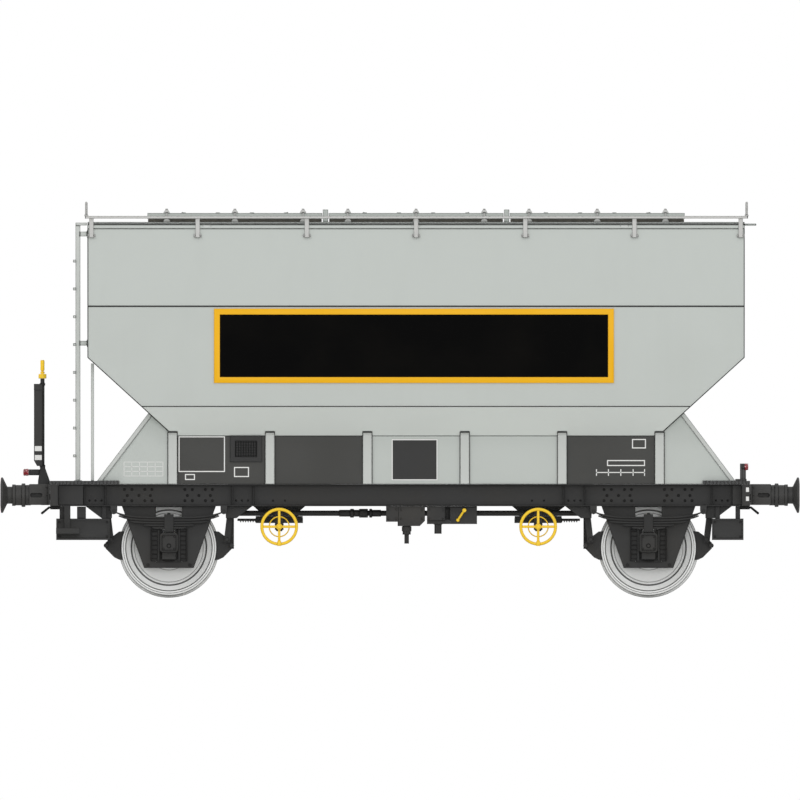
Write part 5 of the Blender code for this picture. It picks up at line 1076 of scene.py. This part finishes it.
edge = eased("edge", WALK_X, (0, EDGE_BAR), WALK_Z, 0.0015, 1)
parts = [repeated("edges", edge, [(0, WALK_Y[0], 0), (0, WALK_Y[1] - EDGE_BAR, 0)])]
end_plate = cube("end plate", (0, EDGE_BAR), WALK_Y, WALK_Z)
parts.append(repeated("ends", end_plate, [(WALK_X[0], 0, 0), (WALK_X[1] - EDGE_BAR, 0, 0)]))
bearing = cube("bearing bar", (WALK_X[0] + 0.003, WALK_X[1] - 0.003), (-0.0015, 0.0015), (3.996, 4.0195))
bearing_places = [(0, WALK_Y[0] + BEARING_PITCH * (i + 1), 0) for i in range(12)]
parts.append(repeated("bearing", bearing, bearing_places))
cross = cube("cross rod", (-0.003, 0.003), (WALK_Y[0] + 0.002, WALK_Y[1] - 0.002), (4.011, 4.018))
cross_places = [(WALK_X[0] + CROSS_PITCH * (i + 1), 0, 0) for i in range(99)]
parts.append(repeated("cross", cross, cross_places))

# %% [markdown]
# A bracket is a strap that follows the side's lean from the walkway down, with a foot that is bolted to the
# side and a leg on the roof. The outermost feet are held inside the side's ends. The rail at each end of the
# walkway is one bent bar in two sockets.

# %% Walkway brackets and end rails
FOOT_HALF = 0.040
FOOT_LOW, FOOT_HIGH = 3.794, 3.831
STRAP_THICK, STRAP_CLEAR = 0.014, 0.0106
strap_y = -CANTRAIL - STRAP_CLEAR
pad_z, bolt_z = 3.879, 3.812
strap = [
    (strap_y, 3.998),
    (strap_y - STRAP_THICK, 3.998),
    (strap_y - STRAP_THICK, 3.937),
    (-wall_y(FOOT_LOW) - STRAP_CLEAR - STRAP_THICK, FOOT_LOW),
    (-wall_y(FOOT_LOW) - 0.001, FOOT_LOW),
    (-wall_y(pad_z) - 0.001, pad_z),
    (-wall_y(pad_z) - STRAP_CLEAR, pad_z),
    (strap_y, EAVES),
]
strap = softened(plate("strap", strap, "X", -BRACKET_HALF, BRACKET_HALF), 0.0025)
foot = [
    (-wall_y(FOOT_LOW) - 0.001, FOOT_LOW),
    (-wall_y(FOOT_LOW) - 0.022, FOOT_LOW),
    (-wall_y(FOOT_HIGH) - 0.022, FOOT_HIGH),
    (-wall_y(FOOT_HIGH) - 0.001, FOOT_HIGH),
]
foot = softened(plate("foot", foot, "X", -FOOT_HALF, FOOT_HALF), 0.0025)
bolts = bolt_heads((-0.031, 0.031), [-wall_y(bolt_z) - 0.020], [bolt_z], (0, -0.013, 0.004), 0.009)
leg = eased("leg", (-BRACKET_HALF, BRACKET_HALF), (-0.724, -0.684), (3.9575, 3.998), 0.002, 1)
bracket = joined("bracket", [strap, foot, leg, *bolts])
bracket_xs = [BODY_X + (i - 3) * 1.150 for i in range(7)]
inside = [min(max(x, BODY[0] + FOOT_HALF), BODY[1] - FOOT_HALF) for x in bracket_xs]
parts.append(repeated("brackets", bracket, [(x, 0, 0) for x in inside]))

RAIL_YS = (-1.060, -0.660)
for x in (WALK_X[0] + 0.014, WALK_X[1] - 0.014):
    outer, inner = RAIL_YS
    hoop = [(x, outer, 4.001), (x, outer, 4.157), (x, inner, 4.157), (x, inner, 4.001)]
    parts.append(bar("hoop", hoop, 0.0138, 0.062))
    for y in RAIL_YS:
        parts.append(softened(cylinder("socket", (x, y, 4.016), (x, y, 4.034), 0.021, 24), 0.002))
spread(joined("walkway", parts), "walkway_grating", "trim_grey", "walkway", material=GRATING)

# %% [markdown]
# ## Hatches
# Each lid is a shallow tray that drops over its coaming. A black seal shows below the lid's edge. Three
# screw latches hold the front edge down: a hand knob on the lid, and a lug with a rounded top on the roof.

# %% Seals, latches and ribs for three lids
SEAL_Z = (3.9573, 3.9875)
SEAL_MIDDLE = (-0.4003, 0.4003)
LATCH_PITCH = 0.718
KNOB_SECTION = [
    (0.0, 4.0965), (0.0110, 4.0965), (0.0135, 4.0940), (0.0135, 4.0890), (0.0200, 4.0800),
    (0.0310, 4.0620), (0.0330, 4.0560), (0.0330, 4.0515), (0.0, 4.0515),
]
for number in (1, 2, 3):
    low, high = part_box(f"lid_{number}")
    centre = (low.x + high.x) / 2
    x0, x1 = low.x + 0.006, high.x - 0.006
    rubber = [cube("seal", (x0, x1), y, SEAL_Z) for y in ((-0.4130, -0.4003), (0.4003, 0.4110))]
    rubber += [cube("seal", x, SEAL_MIDDLE, SEAL_Z) for x in ((x0, x0 + 0.009), (x1 - 0.009, x1))]
    dressed(softened(joined(f"hatch_seal_{number}", rubber), 0.0015, 1), "black_rubber")
    lug = arc(0, 3.9575, 0.037, 0.0365, range(0, 181, 15))
    lug = softened(plate("lug", lug, "Y", -0.431, -0.418), 0.002, 1)
    latch_xs = [centre - LATCH_PITCH, centre, centre + LATCH_PITCH]
    lugs = repeated(f"latch_lugs_{number}", lug, [(x, 0, 0) for x in latch_xs])
    dressed(lugs, "trim_grey", material=GRATING)
    knob = turned("knob", KNOB_SECTION, (0, 0, 1), 24)
    arm = eased("arm", (-0.011, 0.011), (-0.0610, 0.0), (4.0515, 4.0580), 0.0015, 1)
    drop = eased("arm", (-0.011, 0.011), (-0.0610, -0.0575), (3.9950, 4.0560), 0.0015, 1)
    latch = joined("latch", [knob, arm, drop])
    knobs = repeated(f"latch_knobs_{number}", latch, [(x, -0.375, 0) for x in latch_xs])
    dressed(knobs, "trim_grey", f"lid_{number}", material=GRATING)
    rib = eased("rib", (-0.022, 0.022), (-0.335, 0.330), (4.0505, 4.0575), 0.004)
    rib_xs = [centre + offset for offset in (-0.54, -0.18, 0.18, 0.54)]
    ribs = repeated(f"lid_ribs_{number}", rib, [(x, 0, 0) for x in rib_xs])
    dressed(ribs, "body_grey", f"lid_{number}")

# %% [markdown]
# ## Ladder, decks and brake stand
# The stiles are flat bar and the rungs round bar through them, so one is a box with eased edges and the
# other a fine cylinder. The decks' chequer plate is only 1 mm high, so it is drawn in the paint's bump.

# %% The ladder
STILE_X = (-3.417, -3.366)
STILE_YS = (-1.020, -0.660)
RUNG_X = -3.427
RUNG_ZS = [1.494 + 0.293 * i for i in range(8)]
stile = eased("stile", STILE_X, (-0.006, 0.006), (1.2315, 3.950), 0.0025)
parts = [repeated("stiles", stile, [(0, y, 0) for y in STILE_YS])]
rung = softened(cylinder("rung", (RUNG_X, -1.040, 0), (RUNG_X, -0.640, 0), 0.0122, 28), 0.002)
parts.append(repeated("rungs", rung, [(0, 0, z) for z in RUNG_ZS]))
washer = eased("washer", (-3.4425, -3.4125), (-1.0455, -1.0390), (-0.015, 0.015), 0.002, 1)
parts.append(repeated("washers", washer, [(0, 0, z) for z in RUNG_ZS]))
parts.append(eased("top", (STILE_X[0], BODY[0] - 0.006), (-1.040, -0.640), (3.920, 3.950), 0.004))
wall = BODY[0] - 0.0005
for y in STILE_YS:
    for z in (3.830, 2.680):
        arm = cube("arm", (-3.376, wall), (y - 0.006, y + 0.006), (z - 0.025, z + 0.025))
        pad = cube("pad", (wall - 0.006, wall), (y - 0.030, y + 0.030), (z - 0.040, z + 0.040))
        parts.append(softened(joined("bracket", [arm, pad]), 0.002))
        parts += bolt_heads([wall - 0.006], [y + 0.018], [z + 0.020], (-0.008, 0, 0), 0.009)
    parts.append(eased("shoe", (-3.430, -3.350), (y - 0.025, y + 0.025), (1.2313, 1.2370), 0.002))
dressed(joined("ladder_bars", parts), "trim_grey", "wagon", "ladder")

# %% Chequer plate on the decks, with grey posts at the platform
DECK_TOP = 1.231
TEARS_PER_METRE = 26.0
TEAR_HEIGHT = 0.0012


def tear(narrow, wide):
    """1 on the raised tears, which are thin in one direction of the pattern and long in the other."""
    return narrow.fraction().between(0.38, 0.62) * wide.fraction().between(0.12, 0.88)


finish, run, edges, *_ = paint("Chequer plate", FRAME_BLACK, 0.5, (0.9, 0.008), 0.10, 0.0)
x, y = finish.part("X") * TEARS_PER_METRE, finish.part("Y") * TEARS_PER_METRE
one, other = x + y, x - y
rail = (finish.part("Z") > DECK_TOP + 0.004) * (finish.part("X") < 0.0)
tears = (tear(one, other) + tear(other + 0.5, one + 0.5)).limited() * (1 - rail)
colour = finish.mix(rail, finish.mix(tears * 0.25, run, STEEL_GREY), TRIM_GREY)
# The edge mask mixes the painted edge shade into the decks' colour.
CHEQUER = finish.show(finish.mix(edges, colour, PAINTED_EDGE_SHADE), 0.5, tears, TEAR_HEIGHT)
for end in ENDS:
    painted(frame["nodes"][f"deck_{end}"], CHEQUER)

# %% [markdown]
# The brake stand is a post on the headstock with a guard board round it, and on top of it a yellow crank
# with a loose grip. A tail lamp with a red lens sits on a short arm. The lens is turned as a shallow dome
# with a rim behind it.

# %% Guard board and post
STAND_X, STAND_Y = -3.765, -0.450
BOARD_FRONT, BOARD_BACK = -3.854, -3.767
GUARD_Y = (-0.710, -0.190)
POST_SECTION = [
    (0.0, 2.308), (0.0200, 2.308), (0.0220, 2.304), (0.0220, 2.262), (0.0290, 2.260), (0.0290, 2.236),
    (0.0220, 2.234), (0.0220, 1.400), (0.0300, 1.398), (0.0300, 1.372), (0.0220, 1.370), (0.0220, 1.020),
    (0.0, 1.020),
]
front = cube("board", (BOARD_FRONT, -3.850), GUARD_Y, (1.444, 2.250))
with editing(front, "FACE", facing((-1, 0, 0))):
    bpy.ops.mesh.inset(thickness=0.035, depth=0.0)
    bpy.ops.mesh.inset(thickness=0.012, depth=-0.002)
parts = [softened(front, 0.0012, 1)]
parts.append(eased("top", (BOARD_FRONT, BOARD_BACK), GUARD_Y, (2.246, 2.252), 0.0015))
cheek = [(BOARD_FRONT, 2.250), (BOARD_BACK, 2.250), (BOARD_BACK, 1.387), (-3.822, 1.387)]
cheek.append((BOARD_FRONT, 1.444))
cheek = softened(plate("cheek", cheek, "Y", 0, 0.005), 0.0012, 1)
parts.append(repeated("cheeks", cheek, [(0, GUARD_Y[0], 0), (0, GUARD_Y[1] - 0.005, 0)]))
parts.append(eased("lap", (-3.855, -3.766), (-0.7135, -0.7105), (2.186, 2.2515), 0.001, 1))
parts.append(turned("post", POST_SECTION, (0, 0, 1), 40, (STAND_X, STAND_Y, 0)))
foot = [(-3.6866, 0.975), (-3.6866, 1.229), (-3.743, 1.387), (-3.787, 1.387), (-3.812, 1.229)]
foot += [(-3.812, 1.012), (-3.806, 0.992), (-3.793, 0.979), (-3.775, 0.975)]
parts.append(softened(plate("foot", foot, "Y", -0.510, -0.390), 0.006, 3))
for z in (1.560, 2.125):
    parts.append(eased("arm", (-3.851, STAND_X), (-0.470, -0.430), (z - 0.025, z + 0.025), 0.003))
parts.append(eased("lamp arm", (-3.912, STAND_X), (-0.475, -0.425), (1.289, 1.352), 0.004))
dressed(joined("brake_stand_board", parts), "frame_black", "wagon", "brake_stand")

# %% Crank with its grip
CRANK_ARM = 0.160
COLLAR_SECTION = [
    (0.0, 2.3560), (0.0395, 2.3560), (0.0420, 2.3500), (0.0420, 2.3110), (0.0400, 2.3085), (0.0, 2.3085),
]
GRIP_SECTION = [
    (0.0, 2.503), (0.0150, 2.503), (0.0200, 2.499), (0.0222, 2.488), (0.0210, 2.440), (0.0222, 2.402),
    (0.0190, 2.392), (0.0120, 2.388), (0.0120, 2.382), (0.0215, 2.380), (0.0225, 2.374), (0.0215, 2.360),
    (0.0, 2.360),
]
grip_y = STAND_Y + CRANK_ARM
collar = turned("collar", COLLAR_SECTION, (0, 0, 1), 40, (STAND_X, STAND_Y, 0))
web = eased("web", (-3.778, -3.752), (STAND_Y - 0.015, grip_y + 0.020), (2.3450, 2.3660), 0.006, 3)
grip = turned("grip", GRIP_SECTION, (0, 0, 1), 40, (STAND_X, grip_y, 0))
dressed(joined("hand_crank_turned", [collar, web, grip]), "yellow_paint", "wagon", "hand_crank")

# %% Red lenses and white marks
TAIL_LENS = [
    (0.0, 3.969), (0.0160, 3.9685), (0.0290, 3.9660), (0.0360, 3.9600), (0.0372, 3.9520), (0.0340, 3.9460),
    (0.0372, 3.9400), (0.0372, 3.9126), (0.0, 3.9126),
]
SIDE_LENS = [
    (0.0, 3.6695), (0.0140, 3.6690), (0.0250, 3.6660), (0.0320, 3.6610), (0.0355, 3.6540), (0.0360, 3.6300),
    (0.0, 3.6300),
]
dressed(turned("tail_lamp_glass", TAIL_LENS, (-1, 0, 0), 40, (0, STAND_Y, 1.321)), "red_lens")
dressed(turned("side_lamp_glass", SIDE_LENS, (1, 0, 0), 40, (0, -1.020, 1.379)), "red_lens")
marks = [cube("mark", (-3.846, -3.772), (-0.7115, -0.7103), z) for z in ((1.544, 1.597), (1.450, 1.503))]
marks += [cube("mark", (3.643, 3.675), (-1.2555, -1.2538), z) for z in ((1.114, 1.161), (1.019, 1.066))]
dressed(softened(joined("white_marks", marks), 0.0004, 1), "white_paint")

# %% [markdown]
# ## Seams, plates and small fittings
# A black rain strip closes the joint where the side starts to lean in. Dark beads of sealant follow the
# corners, the fold and the cantrail, and each post gets a cover over its top with a bead on either side.

# %% Rain strips and seams
strip_y = (-HALF_WIDTH - 0.0035, -HALF_WIDTH - 0.0003)
spread(eased("strip", BODY, strip_y, (3.0610, 3.0770), 0.001, 1), "rain_strip", "frame_black")
SEAM = 0.0048
END_WALL_Z, KNUCKLE, SLOPE = 2.530, 1.757, 0.911


def seam_path(wall, inward):
    """The bead down one end of the near side: the lean, the upright wall, the slope and the fold."""
    at_fold = wall + inward * (END_WALL_Z - FOLD_Z) / SLOPE
    at_foot = wall + inward * (END_WALL_Z - KNUCKLE) / SLOPE
    face = -HALF_WIDTH - 0.001
    return [
        (wall, -CANTRAIL - 0.001, 3.925),
        (wall, face, LEAN),
        (wall, face, END_WALL_Z),
        (at_fold, face, FOLD_Z),
        (at_foot, face + FOLD_Z - KNUCKLE, KNUCKLE),
    ]


paths = [seam_path(BODY[0] + 0.003, 1), seam_path(BODY[1] - 0.003, -1)]
paths.append([path[3] for path in paths])
for z in (3.8870, 3.9270):
    paths.append([(x, -CANTRAIL - 0.0110, z) for x in BODY])
seams = [bar("seam", path, SEAM) for path in paths]
spread(joined("seams", seams), "corner_seams", "frame_black", material=SEAM_AND_GAP_SHADE_BLACK)

# %% Posts' covers and the sealant beside them
COVER = POST_WIDTH / 2 + 0.001
BEAD = 0.0050
post_places = [(x, 0, 0) for x in POSTS]
side_view = [(-1.012, 1.1965), (-1.048, 1.1965), (-1.048, 1.7150), (-1.0825, KNUCKLE), (-1.012, 1.6900)]
cover = softened(plate("cover", side_view, "X", -COVER, COVER), 0.0015, 1)
spread(repeated("post covers", cover, post_places), "post_covers", "trim_grey")
beads = [plate("bead", side_view, "X", way * COVER, way * (COVER + BEAD)) for way in (-1, 1)]
beads = repeated("post beads", softened(joined("bead", beads), 0.0015, 1), post_places)
spread(beads, "post_beads", "frame_black", material=SEAM_AND_GAP_SHADE_BLACK)

# %% [markdown]
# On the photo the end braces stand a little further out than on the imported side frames. A copy of the near
# frame takes them there. Its triangles are merged first. Then the corners at each brace's foot and top are
# moved, and the top goes up the hopper's slope.

# %% Side frames with their braces moved out
# From the hopper's middle: where the corners lie, how far out each end's go, and how much they climb.
BRACE_MOVES = [
    (3.20, 3.40, {"a": 0.0625, "b": 0.066}, 0),
    (2.76, 2.79, {"a": 0.045, "b": 0.050}, SLOPE),
    (2.70, 2.73, {"a": 0.067, "b": 0.072}, SLOPE),
]
posts = copied(frame["nodes"]["side_frame_near"], "posts", Matrix.Identity(4))
with editing(posts, "VERT"):
    bpy.ops.mesh.customdata_custom_splitnormals_clear()
    bpy.ops.mesh.remove_doubles(threshold=2 * MERGE_DISTANCE)
for end, way in ENDS.items():
    for start, stop, outward, climb in BRACE_MOVES:
        out = outward[end]
        with editing(posts, "VERT", lambda corner: start < way * (corner.co.x - BODY_X) < stop):
            bpy.ops.transform.translate(value=(way * out, 0, climb * out))
spread(posts, "side_posts", "trim_grey", "side_frame", SIDE_FRAME)

# %% Clips under the cantrail
CLIP_XS = (-2.034, 0.168, 2.363)
clips = [cube("clip", (x - 0.045, x + 0.045), (-1.0775, -1.0703), (3.8900, 3.9260)) for x in CLIP_XS]
spread(softened(joined("clips", clips), 0.002, 1), "cantrail_clips", "trim_grey")

# %% [markdown]
# The side frames carry plates and painted frames. On the real wagon they hold words and numbers, so here
# they are bare: outlines, a black plate, the lines of an empty table, and an empty wire holder for a label.

# %% Painted outlines
PANEL = -1.0303
MARK = 0.0012
LINE = 0.011


def outline_of(x, z, width=LINE, face=PANEL):
    """A thin frame: a plate's front and back are inset, and bridging the two middles opens the hole."""
    made = cube("outline", x, (face - MARK, face), z)
    with editing(made, "FACE", lambda part: abs(part.normal.y) > SAME_WAY):
        bpy.ops.mesh.inset(thickness=width)
        bpy.ops.mesh.bridge_edge_loops()
    return made


FRAMES = [
    ((-2.332, -1.843), (1.324, 1.700)),
    ((-2.264, -2.159), (1.240, 1.303)),
    ((-1.748, -1.590), (1.271, 1.377)),
    ((2.443, 2.590), (1.572, 1.672)),
    ((2.180, 2.580), (1.387, 1.450)),
]
parts = [outline_of(x, z) for x, z in FRAMES]
parts.append(cube("rule", (2.064, 2.580), (PANEL - MARK, PANEL), (1.314, 1.324)))
for x in (2.064, 2.190, 2.320, 2.450, 2.570):
    parts.append(cube("tick", (x, x + 0.010), (PANEL - MARK, PANEL), (1.284, 1.354)))
spread(joined("outlines", parts), "painted_outlines", "white_paint")

# %% Black plate and table lines
x, z = (-0.086, 0.394), (1.238, 1.668)
spread(eased("board", x, (PANEL - 0.004, PANEL), z, 0.001, 1), "blank_plate", "frame_black")
rim = outline_of((x[0] - 0.001, x[1] + 0.001), (z[0] - 0.001, z[1] + 0.001), 0.010, PANEL - 0.0041)
spread(rim, "blank_plate_line", "white_paint")
table_x, table_z = (-2.906, -2.496), (1.282, 1.429)
columns = [table_x[0] + (table_x[1] - table_x[0]) * i / 5 for i in range(6)]
rows = [table_z[0] + (table_z[1] - table_z[0]) * i / 3 for i in range(4)]
lines_y = (PANEL - 0.001, PANEL)
parts = [cube("line", (x - 0.003, x + 0.003), lines_y, table_z) for x in columns]
parts += [cube("line", table_x, lines_y, (z - 0.003, z + 0.003)) for z in rows]
spread(joined("table", parts), "table_lines", "white_paint")

# %% A wire holder for labels
holder_x, holder_z = (-1.790, -1.453), (1.429, 1.706)
holder = cube("holder", holder_x, (PANEL - 0.016, PANEL), holder_z)
with editing(holder, "FACE", facing(NEAR)):
    bpy.ops.mesh.inset(thickness=0.055)
    pulled((0, 0.011, 0))
parts = [softened(holder, 0.002, 1)]
WIRE = 0.0028
UPRIGHT_Y, LEVEL_Y = PANEL - 0.010, PANEL - 0.0135
for i in range(9):
    x = -1.728 + 0.0265 * i
    parts.append(cylinder("wire", (x, UPRIGHT_Y, 1.484), (x, UPRIGHT_Y, 1.652), WIRE, 8))
for i in range(6):
    z = 1.500 + 0.0270 * i
    parts.append(cylinder("wire", (-1.736, LEVEL_Y, z), (-1.508, LEVEL_Y, z), WIRE, 8))
spread(joined("holder", parts), "label_holder", "frame_black")

# %% [markdown]
# Under the near solebar hangs the brake's changeover plate with its yellow lever. The lever is a round bar
# with a ball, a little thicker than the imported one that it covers. The end boxes get doors, and the brake
# valve its bolts and caps.

# %% Lever, doors and valve caps
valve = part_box("brake_valve")
lever_y = valve[0].y + 0.027
parts = [bar("lever", [(0.677, lever_y, 0.921), (0.612, lever_y, 0.822)], 0.0125)]
ball = arc(0, 0, 0.018, 0.018, range(90, -91, -18))
parts.append(turned("ball", ball, (0, 0, 1), 24, (0.609, lever_y, 0.817)))
boss = cylinder("boss", (0.677, lever_y - 0.016, 0.921), (0.677, lever_y + 0.010, 0.921), 0.0215, 32)
parts.append(softened(boss, 0.002))
dressed(joined("changeover_lever", parts), "yellow_paint")
for end in ENDS:
    low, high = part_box(f"end_box_{end}")
    door = cube("door", (low.x + 0.018, high.x - 0.018), (low.y - 0.006, low.y - 0.0002), (0.630, 0.812))
    door = softened(inset(door, 0.016, -0.003), 0.0015, 1)
    corners = (low.x + 0.032, high.x - 0.032)
    bolts = bolt_heads(corners, [low.y - 0.005], (0.645, 0.797), (0, -0.008, 0), 0.009)
    dressed(joined(f"end_box_door_{end}", [door, *bolts]), "frame_black")
face = valve[0].y
VALVE_BOLT_XS = (-0.125, -0.040, 0.010, 0.230, 0.306, 0.452)
parts = bolt_heads(VALVE_BOLT_XS, [face], (0.930, 0.832), (0, -0.010, 0), 0.011)
for x, low_z, high_z, radius in ((0.070, 0.700, 0.752, 0.051), (0.400, 0.770, 0.812, 0.046)):
    parts.append(softened(cylinder("cap", (x, -0.960, low_z), (x, -0.960, high_z), radius, 32), 0.004))
parts.append(eased("seam", (-0.020, -0.014), (face - 0.003, face + 0.002), (0.760, 0.960), 0.001, 1))
parts.append(eased("link plate", (0.470, 0.536), (-0.905, -0.895), (0.812, 0.963), 0.002, 1))
dressed(joined("valve_fittings", parts), "cast_iron")

# %% Treads on the steps
for name, side in SIDES.items():
    low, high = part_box(f"step_{name}")
    inner, outer = side * 1.064, side * 1.226
    cleat = eased("cleat", (low.x + 0.008, high.x - 0.008), (-0.003, 0.003), (0.6815, 0.6900), 0.001, 1)
    ys = [inner + (outer - inner) * i / 6 for i in range(7)]
    cleats = repeated(f"step_cleats_{name}", cleat, [(0, y, 0) for y in ys])
    dressed(cleats, "frame_black")

# %% [markdown]
# ## Floor, light and camera
# The view is a plain side elevation: an orthographic camera, level with the middle of the frame, whose width
# is the wagon's length over its buffers and a little more. The light is soft and nearly even, so that paint
# shows as it was mixed. Sky from all sides does most of it, one sun gives the shadows their direction, and
# a low one reaches under the hopper's fold.

# %% The stage
FLOOR_SIZE = 80
CLEARANCE = 0.0005
bpy.ops.object.select_all(action="DESELECT")
bpy.ops.mesh.primitive_plane_add(size=FLOOR_SIZE, location=(0, 0, -CLEARANCE))
floor = bpy.context.object
floor.name = "floor"
finish = Finish("Pale floor", 0.9)
finish.show(finish.mix(finish.noise(0.8, 5.0) * 0.3, srgb(238, 238, 236), srgb(228, 228, 226)))
floor.data.materials.append(finish.material)


def sun(name, strength, azimuth, elevation, softness):
    """A sun that stands at this azimuth, 0 at the camera and 90 at +X, and at this height."""
    data = bpy.data.lights.new(name, "SUN")
    data.energy = strength
    data.angle = math.radians(softness)
    lamp = bpy.data.objects.new(name, data)
    scene.collection.objects.link(lamp)
    turn, rise = math.radians(azimuth), math.radians(elevation)
    toward = Vector((math.sin(turn) * math.cos(rise), -math.cos(turn) * math.cos(rise), math.sin(rise)))
    lamp.rotation_euler = toward.to_track_quat("Z", "Y").to_euler()


sun("key", 0.30, -32, 48, 12)
sun("low fill", 0.85, 6, 3, 30)

# %% Sky and camera
world = bpy.data.worlds.new("Studio")
scene.world = world
world.use_nodes = True
tree = world.node_tree
background = tree.nodes["Background"]
AMBIENT = 0.73
rays = tree.nodes.new("ShaderNodeLightPath")
seen = tree.nodes.new("ShaderNodeMath")
seen.operation = "MAXIMUM"
through = tree.nodes.new("ShaderNodeMath")
through.operation = "MAXIMUM"
level = tree.nodes.new("ShaderNodeMapRange")
level.inputs["To Min"].default_value = AMBIENT
level.inputs["To Max"].default_value = 1.0
tree.links.new(rays.outputs["Is Camera Ray"], seen.inputs[0])
tree.links.new(rays.outputs["Is Glossy Ray"], seen.inputs[1])
tree.links.new(seen.outputs[0], through.inputs[0])
tree.links.new(rays.outputs["Is Transmission Ray"], through.inputs[1])
tree.links.new(through.outputs[0], level.inputs["Value"])
tree.links.new(level.outputs["Result"], background.inputs["Strength"])
background.inputs["Color"].default_value = (1, 1, 1, 1)

VIEW_WIDTH = 8.424
VIEW_HEIGHT_MIDDLE = 2.0822
VIEW_DISTANCE = 25
lens = bpy.data.cameras.new("Side elevation")
lens.type = "ORTHO"
lens.ortho_scale = VIEW_WIDTH
lens.clip_end = 100
camera = bpy.data.objects.new("Side elevation", lens)
camera.location = (0, -VIEW_DISTANCE, VIEW_HEIGHT_MIDDLE)
camera.rotation_euler = (math.pi / 2, 0, 0)
scene.collection.objects.link(camera)
scene.camera = camera
scene.view_settings.view_transform = "Standard"
